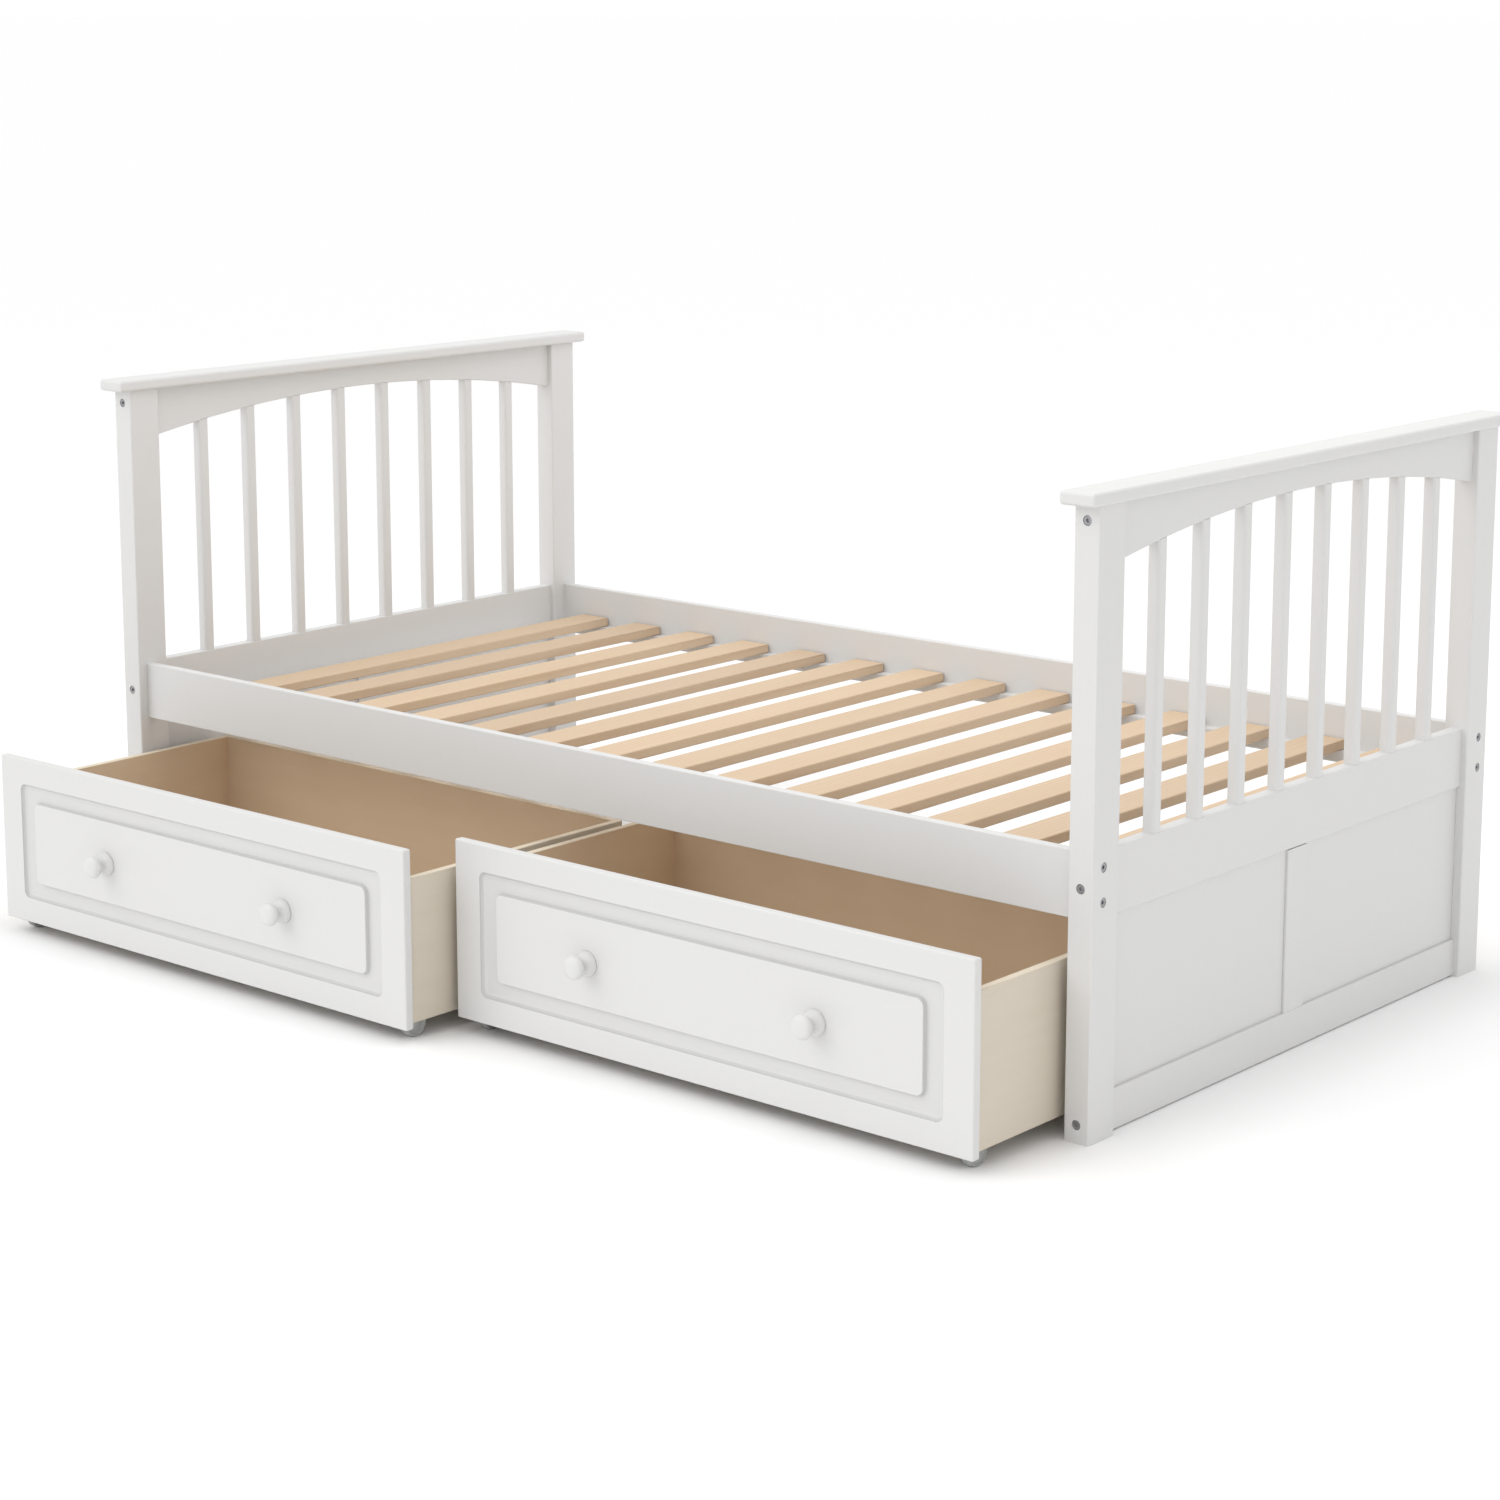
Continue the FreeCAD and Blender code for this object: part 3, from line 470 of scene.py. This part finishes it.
def outline(bm, half_x, half_z, radius, y, steps=6):
    """Adds a rounded rectangle of bare edges, square to Y and centred on the Y axis."""
    earlier = set(bm.faces)
    verts = bmesh.ops.create_grid(bm, x_segments=1, y_segments=1, size=1.0)["verts"]
    bmesh.ops.scale(bm, vec=(half_x, half_z, 1.0), verts=verts)
    turn = Matrix.Rotation(math.radians(90), 3, "X")
    bmesh.ops.rotate(bm, cent=(0, 0, 0), matrix=turn, verts=verts)
    bmesh.ops.translate(bm, vec=(0, y, 0), verts=verts)
    bmesh.ops.bevel(
        bm, geom=verts, offset=radius, segments=steps, profile=0.5, affect="VERTICES", material=-1,
    )
    face = next(face for face in bm.faces if face not in earlier)
    edges = list(face.edges)
    bmesh.ops.delete(bm, geom=[face], context="FACES_ONLY")
    return edges


def carry_on(bm, edges, last, now):
    """Extrudes a rounded rectangle of edges from one outline's size and depth to the next one's."""
    made = bmesh.ops.extrude_edge_only(bm, edges=edges)["geom"]
    verts = {item for item in made if isinstance(item, bmesh.types.BMVert)}
    old_radius, new_radius = last[2], now[2]
    for vert in verts:
        for axis, half in ((0, 0), (2, 1)):
            reach = (abs(vert.co[axis]) - last[half] + old_radius) / old_radius
            vert.co[axis] = math.copysign(now[half] + (reach - 1) * new_radius, vert.co[axis])
        vert.co.y = now[3]
    new_edges = (item for item in made if isinstance(item, bmesh.types.BMEdge))
    return [edge for edge in new_edges if verts.issuperset(edge.verts)]


def close_loop(bm, edges):
    """Fills one loop of edges with a face."""
    bmesh.ops.contextual_create(bm, geom=edges)


def spun(bm, profile, centre, axis, steps):
    """Adds a turned shape from radii and distances along an axis, its ends closed on the axis."""
    axis = Vector(axis)
    across = axis.orthogonal().normalized()
    verts = [bm.verts.new(across * radius + axis * out) for radius, out in profile]
    edges = [bm.edges.new(pair) for pair in zip(verts, verts[1:])]
    bmesh.ops.spin(
        bm, geom=verts + edges, cent=(0, 0, 0), axis=axis, dvec=(0, 0, 0),
        angle=math.tau, steps=steps, use_merge=True, use_duplicate=False,
    )
    verts = [v for v in bm.verts if not v.tag]
    bmesh.ops.remove_doubles(bm, verts=verts, dist=1e-6)
    verts = [v for v in bm.verts if not v.tag]
    bmesh.ops.translate(bm, vec=centre, verts=verts)
    for vert in verts:
        vert.tag = True


def finish_piece(bm, name, materials, body, slot, nodes, flat=True):
    """Turns the mesh into a piece that rides on a body and stands for its nodes."""
    bmesh.ops.recalc_face_normals(bm, faces=bm.faces)
    for face in bm.faces:
        square = max(abs(c) for c in face.normal) > 0.9999
        face.smooth = not (flat and square)
    mesh = bpy.data.meshes.new(name)
    bm.to_mesh(mesh)
    bm.free()
    for material in materials:
        mesh.materials.append(material)
    piece = bpy.data.objects.new(name, mesh)
    bpy.context.scene.collection.objects.link(piece)
    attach(piece, body)
    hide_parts(*nodes)
    return piece


def round_edges(piece, width, angle=35):
    """A live bevel on a piece's sharp edges."""
    bevel = piece.modifiers.new("worn edges", "BEVEL")
    bevel.width = width
    bevel.segments = 2
    bevel.limit_method = "ANGLE"
    bevel.angle_limit = math.radians(angle)


def refine(piece, levels):
    """Live subdivision, the same in the view and in the render."""
    smooth = piece.modifiers.new("smooth turning", "SUBSURF")
    smooth.levels = levels
    smooth.render_levels = levels


def dress(material, *nodes):
    """Gives CAD nodes that stay in view their material."""
    for name in nodes:
        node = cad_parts[name]
        for slot in node.material_slots:
            slot.material = material


# Operators --------------------------------------------------------------------------------------

class BED_OT_painted_frame(bpy.types.Operator):
    """Paints the posts, end rails, stiles, panels, side rails and cleats."""

    bl_idname = "bed.painted_frame"
    bl_label = "Painted Frame"

    def execute(self, context):
        for end in ENDS:
            for side in LONG_SIDES:
                dress(paint("Z"), end + "_post_" + side)
            dress(paint("Y"), *(end + part for part in ("_arch_rail", "_mid_rail", "_bottom_rail")))
            dress(paint("Z"), end + "_centre_stile", end + "_panels")
        for side in LONG_SIDES:
            dress(paint("X"), side + "_rail", side + "_cleat")
        return {"FINISHED"}


class BED_OT_caps(bpy.types.Operator):
    """Makes the rounded caps along the tops of the two ends."""

    bl_idname = "bed.caps"
    bl_label = "Caps"

    def execute(self, context):
        sizes = context.scene.bed_looks.sizes
        for end in ENDS:
            bm = bmesh.new()
            box_board(bm, *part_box(end + "_cap"), sizes.cap_edge, 6)
            name, node = end + "_cap_board", end + "_cap"
            finish_piece(bm, name, [paint("Y")], "bed_frame", "white_painted_wood", [node])
        return {"FINISHED"}


class BED_OT_spindles(bpy.types.Operator):
    """Makes the slender uprights of the two ends, each cut at the top to the arched rail."""

    bl_idname = "bed.spindles"
    bl_label = "Spindles"

    def execute(self, context):
        sizes = context.scene.bed_looks.sizes
        for end in ENDS:
            rail_low, rail_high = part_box(end + "_arch_rail")
            foot_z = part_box(end + "_mid_rail")[1].z
            low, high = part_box(end + "_spindles")
            half_span = rail_high.y
            rise = sizes.arch_crown - rail_low.z
            radius = (half_span ** 2 + rise ** 2) / (2 * rise)
            pitch = 2 * half_span / (sizes.spindles + 1)
            half_y = (high.y - low.y - pitch * (sizes.spindles - 1)) / 2
            bm = bmesh.new()
            for index in range(sizes.spindles):
                y = -half_span + pitch * (index + 1)
                one = bmesh.new()
                corner_low = (low.x, y - half_y, foot_z)
                corner_high = (high.x, y + half_y, sizes.arch_crown + 0.01)
                box_board(one, corner_low, corner_high, sizes.spindle_edge, 5, "Z")
                drop = radius - math.sqrt(radius ** 2 - y ** 2)
                bmesh.ops.bisect_plane(
                    one, geom=one.verts[:] + one.edges[:] + one.faces[:], clear_outer=True,
                    plane_co=(0, y, sizes.arch_crown - drop), plane_no=(0, y / radius, 1),
                )
                rim = [edge for edge in one.edges if edge.is_boundary]
                close_loop(one, rim)
                for edge in rim:
                    edge.smooth = False
                mesh = bpy.data.meshes.new("one_spindle")
                one.to_mesh(mesh)
                one.free()
                bm.from_mesh(mesh)
                bpy.data.meshes.remove(mesh)
            name = end + "_spindle_set"
            finish_piece(bm, name, [paint("Z")], "bed_frame", "white_painted_wood", [end + "_spindles"])
        return {"FINISHED"}


class BED_OT_slats(bpy.types.Operator):
    """Makes the bare pine slats."""

    bl_idname = "bed.slats"
    bl_label = "Slats"

    def execute(self, context):
        looks = context.scene.bed_looks
        first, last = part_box(SLATS[0])[0].x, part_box(SLATS[-1])[0].x
        pitch = (last - first) / (len(SLATS) - 1)
        pine = shared("planed_pine", bare_pine, looks.timber, pitch, len(SLATS))
        for node in SLATS:
            bm = bmesh.new()
            box_board(bm, *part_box(node), looks.sizes.slat_edge, 3, "Y")
            finish_piece(bm, node + "_board", [pine], "bed_frame", "bare_pine", [node])
        return {"FINISHED"}


class BED_OT_frame_bolts(bpy.types.Operator):
    """Makes the socket-head bolts that hold the posts to the rails."""

    bl_idname = "bed.frame_bolts"
    bl_label = "Frame Bolts"

    HEAD_R, HEAD_H, SHANK_R = 6.5 * MM, 4 * MM, 3 * MM
    SOCKET_R, SOCKET_DEPTH = 2.887 * MM, 2.5 * MM
    SIDE_LENGTH, END_LENGTH = 104 * MM, 84 * MM
    LIFTS = (28 * MM, 76 * MM)

    def execute(self, context):
        low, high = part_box("frame_bolts")
        bm = bmesh.new()
        mid_rail = (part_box("foot_mid_rail")[0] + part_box("foot_mid_rail")[1]) / 2
        arch_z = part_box("foot_arch_rail")[1].z - 21 * MM
        bottom_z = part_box("foot_bottom_rail")[0].z + 24 * MM
        side_low, side_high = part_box("closed_side_rail")
        for x in (-mid_rail.x, mid_rail.x):
            for side in (-1, 1):
                for z in (arch_z, mid_rail.z, bottom_z):
                    self.bolt(bm, (x, side * high.y, z), (0, -side, 0), self.SIDE_LENGTH)
        for end in (-1, 1):
            for side in (-1, 1):
                for lift in self.LIFTS:
                    y = side * (side_low.y + side_high.y) / 2
                    self.bolt(bm, (end * high.x, y, side_low.z + lift), (-end, 0, 0), self.END_LENGTH)
        slot, nodes = "zinc_plated_steel", ["frame_bolts"]
        bolts = finish_piece(bm, "frame_bolt_set", [zinc()], "bed_frame", slot, nodes)
        round_edges(bolts, 0.35 * MM)
        return {"FINISHED"}

    def bolt(self, bm, start, direction, length):
        """Adds one bolt, from the outer face of its head inwards."""
        direction = Vector(direction)
        one = bmesh.new()
        facets = 24
        rings = []
        for radius, depth in (
            (self.HEAD_R, 0.0), (self.HEAD_R, self.HEAD_H),
            (self.SHANK_R, self.HEAD_H), (self.SHANK_R, length),
        ):
            rings.append(self.ring(one, radius, depth, facets, 0))
        socket = [self.ring(one, self.SOCKET_R, depth, 6, 3) for depth in (0.0, self.SOCKET_DEPTH)]
        for near, far in ((rings[0], rings[1]), (rings[1], rings[2]), (rings[2], rings[3])):
            bmesh.ops.bridge_loops(one, edges=near + far)
        bmesh.ops.bridge_loops(one, edges=rings[0] + socket[0])
        bmesh.ops.bridge_loops(one, edges=socket[0] + socket[1])
        close_loop(one, rings[3])
        close_loop(one, socket[1])
        turn = Vector((0, 0, 1)).rotation_difference(direction).to_matrix()
        bmesh.ops.rotate(one, cent=(0, 0, 0), matrix=turn, verts=one.verts)
        bmesh.ops.translate(one, vec=start, verts=one.verts)
        mesh = bpy.data.meshes.new("one_bolt")
        one.to_mesh(mesh)
        one.free()
        bm.from_mesh(mesh)
        bpy.data.meshes.remove(mesh)

    def ring(self, bm, radius, depth, sides, cuts):
        """Adds a ring of edges at a depth below the head's face."""
        made = bmesh.ops.create_circle(bm, segments=sides, radius=radius, cap_ends=False)["verts"]
        bmesh.ops.translate(bm, vec=(0, 0, depth), verts=made)
        edges = list({edge for vert in made for edge in vert.link_edges})
        if cuts:
            cut = bmesh.ops.subdivide_edges(bm, edges=edges, cuts=cuts)
            edges = [item for item in cut["geom"] if isinstance(item, bmesh.types.BMEdge)]
        return edges


class BED_OT_drawer_fronts(bpy.types.Operator):
    """Makes the drawer fronts, each with a routed channel round a raised field."""

    bl_idname = "bed.drawer_fronts"
    bl_label = "Drawer Fronts"

    COVE_WIDTH = 11.0
    LEAST_CORNER = 3 * MM
    # Darkening of the paint on the channel's floor and on its steeper cove walls: painted shade in the
    # recess.
    CHANNEL_TONE, COVE_TONE = 0.95, 0.84
    FLAT_ENOUGH = 0.9

    def execute(self, context):
        sizes = context.scene.bed_looks.sizes
        for drawer in DRAWERS:
            node = drawer + "_drawer_front"
            low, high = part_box(node)
            half_x, half_z, depth = (high.x - low.x) / 2, (high.z - low.z) / 2, high.y - low.y
            bm = bmesh.new()
            section = list(self.section(sizes, half_x, half_z, depth))
            loop = outline(bm, *section[0])
            close_loop(bm, loop)
            for last, now in zip(section, section[1:]):
                loop = carry_on(bm, loop, last, now)
            close_loop(bm, loop)
            self.paint_channel_shade(bm, sizes, half_x, half_z)
            centre = ((low.x + high.x) / 2, low.y, (low.z + high.z) / 2)
            bmesh.ops.translate(bm, vec=centre, verts=bm.verts)
            name = drawer + "_drawer_routed_front"
            painted_shades = shaded_channel_paint("channel", self.CHANNEL_TONE), shaded_channel_paint("cove", self.COVE_TONE)
            paints = [paint("X"), *painted_shades]
            finish_piece(bm, name, paints, drawer + "_drawer", "white_painted_wood", [node])
        return {"FINISHED"}

    def paint_channel_shade(self, bm, sizes, half_x, half_z):
        """Gives the channel's floor and its steeper walls darker copies of the paint: painted shade in the
        routed recess.
        """
        bm.normal_update()
        for face in bm.faces:
            middle = face.calc_center_median()
            inside = abs(middle.x) < half_x - sizes.margin_x and abs(middle.z) < half_z - sizes.margin_z
            if inside and middle.y > 0.05 * MM:
                face.material_index = 1 if abs(face.normal.y) > self.FLAT_ENOUGH else 2

    def section(self, sizes, half_x, half_z, depth):
        """Outlines from the middle of the field out to the rim and round to the back: half width,
        half height, corner radius and depth behind the face."""
        cut = sizes.channel_depth
        corner = sizes.channel_corner
        outer_x, outer_z = half_x - sizes.margin_x, half_z - sizes.margin_z
        field_x, field_z = outer_x - sizes.channel_x, outer_z - sizes.channel_z
        for out, y in ((-1.2, 0.0), (-0.5, 0.06), (0.0, 0.28), (0.5, 0.75), (1.1, 0.93), (2.0, 1.0)):
            out *= MM
            yield field_x + out, field_z + out, corner + out, y * cut
        for inward in (self.COVE_WIDTH, 8.5, 6.0, 4.0, 2.5, 1.4, 0.6, 0.15):
            cove = math.sqrt(1 - (1 - inward / self.COVE_WIDTH) ** 2)
            out = -inward * MM
            yield outer_x + out, outer_z + out, max(corner + out, self.LEAST_CORNER), cove * cut
        for out, y in ((0.0, 0.04), (0.4, 0.0)):
            out *= MM
            yield outer_x + out, outer_z + out, corner + out, y * cut
        edge = sizes.front_edge
        quarter = [math.radians(a) for a in (0, 22.5, 45, 67.5, 90)]
        for angle in quarter:
            out = edge * (1 - math.sin(angle))
            yield half_x - out, half_z - out, edge * 1.2 - out * 0.9, edge * (1 - math.cos(angle))
        for angle in reversed(quarter):
            out = edge * (1 - math.sin(angle))
            yield half_x - out, half_z - out, edge * 1.2 - out * 0.9, depth - edge * (1 - math.cos(angle))


class BED_OT_drawer_boxes(bpy.types.Operator):
    """Makes the plywood sides, back and bottom of each drawer."""

    bl_idname = "bed.drawer_boxes"
    bl_label = "Drawer Boxes"

    def execute(self, context):
        for drawer in DRAWERS:
            body = drawer + "_drawer"
            low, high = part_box(body + "_bottom")
            middle = (low + high) / 2
            for part, grain, layers, faces in (
                ("side_left", "Y", "X", (1, 0, 0)),
                ("side_right", "Y", "X", (-1, 0, 0)),
                ("back", "X", "Y", (0, -1, 0)),
                ("bottom", "X", "Z", (0, 0, 1)),
            ):
                self.panel(body, part, grain, layers, Vector(faces))
            dress(zinc(), body + "_caster_axles")
        return {"FINISHED"}

    def panel(self, body, part, grain, layers, inward):
        """Makes one board: lacquered veneer outside, a darker, warmer copy inside as painted shade and
        bounce light, bare plies along its edges.
        """
        node = body + "_" + part
        bm = bmesh.new()
        thin = part == "bottom"
        along = "" if thin else grain
        box_board(bm, *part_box(node), 0.0 if thin else 1.2 * MM, 3, along)
        bmesh.ops.recalc_face_normals(bm, faces=bm.faces)
        for face in bm.faces:
            facing = face.normal.dot(inward)
            face.material_index = 0 if facing > 0.9 else 1 if facing < -0.9 else 2
        materials = [veneer("inside", grain), veneer("outside", grain), edge_plies(layers)]
        finish_piece(bm, node + "_board", materials, body, "lacquered_plywood", [node])


class BED_OT_knobs(bpy.types.Operator):
    """Turns the round knobs on the drawer fronts."""

    bl_idname = "bed.knobs"
    bl_label = "Knobs"

    PROFILE = (
        (0.0, 0.0), (10.0, 0.0), (17.5, 0.0), (19.0, 0.4), (19.2, 1.6), (18.9, 3.0), (17.8, 6.0),
        (15.4, 9.2), (11.2, 12.0), (7.7, 13.9), (6.5, 15.6), (6.6, 17.2), (8.4, 18.7), (12.6, 20.2),
        (16.4, 22.8), (18.1, 26.0), (17.9, 29.4), (15.9, 32.9), (12.0, 35.0), (6.5, 36.1), (0.0, 36.5),
    )

    def execute(self, context):
        for drawer in DRAWERS:
            node = drawer + "_drawer_knobs"
            low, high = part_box(node)
            bm = bmesh.new()
            radius = (high.z - low.z) / 2
            face_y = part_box(drawer + "_drawer_front")[0].y
            for x in (low.x + radius, high.x - radius):
                profile = [(r * MM, out * MM) for r, out in self.PROFILE]
                spun(bm, profile, (x, face_y, (low.z + high.z) / 2), (0, -1, 0), 24)
            name = drawer + "_drawer_turned_knobs"
            body = drawer + "_drawer"
            knobs = finish_piece(bm, name, [paint("Z")], body, "white_painted_wood", [node], False)
            refine(knobs, 2)
        return {"FINISHED"}


class BED_OT_casters(bpy.types.Operator):
    """Makes the roller wheels, and finishes their brackets."""

    bl_idname = "bed.casters"
    bl_label = "Casters"

    PROFILE = (
        (0.0, 15.0), (6.0, 15.0), (7.0, 14.4), (7.0, 13.6), (8.0, 13.2), (15.0, 13.2), (16.0, 13.8),
        (16.4, 15.0), (17.8, 15.0), (19.2, 14.4), (19.9, 13.0), (20.0, 11.0), (20.0, 4.0),
        (19.9, 2.0), (19.2, 0.6), (17.8, 0.0), (16.4, 0.0), (16.0, 4.6), (7.4, 5.0), (7.0, 0.0),
        (3.1, 0.0), (3.1, 12.0), (0.0, 12.0),
    )

    def execute(self, context):
        for drawer in DRAWERS:
            body = drawer + "_drawer"
            dress(shared("moulded_nylon", grey_nylon), body + "_caster_brackets")
            for row in ("front", "rear"):
                node = body + "_" + row + "_wheels"
                low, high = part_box(node)
                centre_y, centre_z = (low.y + high.y) / 2, (low.z + high.z) / 2
                bm = bmesh.new()
                width = self.PROFILE[0][1] * MM
                for x, outward in ((low.x + width, -1), (high.x - width, 1)):
                    profile = [(r * MM, out * MM) for r, out in self.PROFILE]
                    spun(bm, profile, (x, centre_y, centre_z), (outward, 0, 0), 48)
                wheels = finish_piece(
                    bm, body + "_" + row + "_rollers", [shared("moulded_nylon", grey_nylon)],
                    drawer + "_" + row + "_wheel_pair", "grey_nylon", [node], False,
                )
                wheels.data.set_sharp_from_angle(angle=math.radians(50))
        return {"FINISHED"}


class BED_OT_hidden_fixings(bpy.types.Operator):
    """Finishes the barrel nuts, the cleat screws and the dowels under the caps."""

    bl_idname = "bed.hidden_fixings"
    bl_label = "Hidden Fixings"

    def execute(self, context):
        dress(zinc(), "barrel_nuts", "cleat_screws")
        dress(shared("turned_beech", turned_beech), "cap_dowels")
        return {"FINISHED"}


class BED_OT_stage(bpy.types.Operator):
    """Sets out the pale floor, the soft studio light and the camera."""

    bl_idname = "bed.stage"
    bl_label = "Stage"

    FLOOR_HALF = 500.0
    WALLS_TOP = 0.15
    WINDOW_AT, WINDOW_SPREAD = (-2.2, -4.0, 4.4), 50
    LAMP_AT, LAMP_SIZE = (0.5, 0.0, 3.6), 1.8
    LIGHTS_AIM = (0.0, 0.0, 0.4)
    CAMERA_AT = (3.3361, -3.9608, 1.4927)
    CAMERA_DIP, CAMERA_TURN = 10.3241, 40.5525
    CAMERA_SHIFT, CAMERA_SENSOR = -0.10, 36.0

    def execute(self, context):
        look = context.scene.bed_looks.stage
        self.floor(look)
        self.light(context.scene, look)
        self.camera(context.scene, look)
        return {"FINISHED"}

    def floor(self, look):
        """A wide matt floor."""
        bm = bmesh.new()
        bmesh.ops.create_grid(bm, x_segments=1, y_segments=1, size=self.FLOOR_HALF)
        mesh = bpy.data.meshes.new("studio_floor")
        bm.to_mesh(mesh)
        bm.free()
        floor = bpy.data.objects.new("studio_floor", mesh)
        bpy.context.scene.collection.objects.link(floor)
        material, shader = new_material("studio_floor_paint", tuple(look.floor_colour), 0.9)
        shader.inputs["Specular IOR Level"].default_value = 0.0
        mesh.materials.append(material)

    def light(self, scene, look):
        """Soft light from the pale room, a window on the drawers' side and a lamp over the bed."""
        world = bpy.data.worlds.new("studio_room")
        world.use_nodes = True
        tree = world.node_tree
        towards = add_node(tree, "SeparateXYZ", {0: add_node(tree, "TexCoord").outputs["Generated"]}).outputs
        strength = add_node(
            tree, "MapRange",
            {
                "Value": towards[2], "From Min": self.WALLS_TOP,
                "To Min": look.horizon_light, "To Max": look.zenith_light,
            },
            interpolation_type="SMOOTHSTEP",
        ).outputs[0]
        foot_wall = spread(tree, towards[0], 1.0, look.foot_wall)
        strength = maths(tree, "MULTIPLY", strength, foot_wall)
        background = tree.nodes["Background"]
        background.inputs["Color"].default_value = (1.0, 1.0, 1.0, 1.0)
        tree.links.new(strength, background.inputs["Strength"])
        scene.world = world
        window = bpy.data.lights.new("window", "SUN")
        window.energy = look.window_light
        window.angle = math.radians(self.WINDOW_SPREAD)
        self.hang(scene, window, self.WINDOW_AT)
        lamp = bpy.data.lights.new("lamp_over_bed", "AREA")
        lamp.shape = "SQUARE"
        lamp.size = self.LAMP_SIZE
        lamp.energy = look.lamp_power
        self.hang(scene, lamp, self.LAMP_AT)
        scene.view_settings.view_transform = "Standard"

    def hang(self, scene, data, place):
        """Puts a light at a place, aimed at the middle of the bed."""
        light = bpy.data.objects.new(data.name, data)
        light.location = place
        aim = Vector(self.LIGHTS_AIM) - Vector(place)
        light.rotation_euler = aim.to_track_quat("-Z", "Y").to_euler()
        scene.collection.objects.link(light)

    def camera(self, scene, look):
        """A long lens beyond the foot corner on the drawers' side, looking slightly down."""
        data = bpy.data.cameras.new("studio_camera")
        data.sensor_width = self.CAMERA_SENSOR
        data.lens = look.lens
        data.shift_y = self.CAMERA_SHIFT
        camera = bpy.data.objects.new("studio_camera", data)
        camera.location = self.CAMERA_AT
        camera.rotation_euler = Euler((
            math.radians(90 - self.CAMERA_DIP), 0.0, math.radians(self.CAMERA_TURN),
        ))
        scene.collection.objects.link(camera)
        scene.camera = camera


class BED_PT_looks(bpy.types.Panel):
    """Lists the bed's sizes and colours and the steps that make it."""

    bl_idname = "BED_PT_looks"
    bl_label = "Bed Frame"
    bl_space_type = "VIEW_3D"
    bl_region_type = "UI"
    bl_category = "Bed"

    def draw(self, context):
        looks = context.scene.bed_looks
        for group in (looks.paint, looks.timber, looks.sizes, looks.stage):
            box = self.layout.box()
            for name in group.bl_rna.properties.keys():
                if name not in ("rna_type", "name"):
                    box.prop(group, name)
        column = self.layout.column(align=True)
        for step in STEPS:
            column.operator(step.bl_idname)


STEPS = (
    BED_OT_stage,
    BED_OT_painted_frame,
    BED_OT_caps,
    BED_OT_spindles,
    BED_OT_slats,
    BED_OT_frame_bolts,
    BED_OT_drawer_fronts,
    BED_OT_drawer_boxes,
    BED_OT_knobs,
    BED_OT_casters,
    BED_OT_hidden_fixings,
)
CLASSES = (PaintLook, TimberLook, DetailSizes, StageLook, BedLooks, *STEPS, BED_PT_looks)


def register():
    """Registers the classes and the scene's settings."""
    for cls in CLASSES:
        bpy.utils.register_class(cls)
    bpy.types.Scene.bed_looks = PointerProperty(type=BedLooks)


def unregister():
    """Takes away what register added."""
    del bpy.types.Scene.bed_looks
    for cls in reversed(CLASSES):
        bpy.utils.unregister_class(cls)


def main():
    """Makes everything."""
    register()
    for step in STEPS:
        group, name = step.bl_idname.split(".")
        getattr(getattr(bpy.ops, group), name)()


if __name__ == "__main__":
    main()
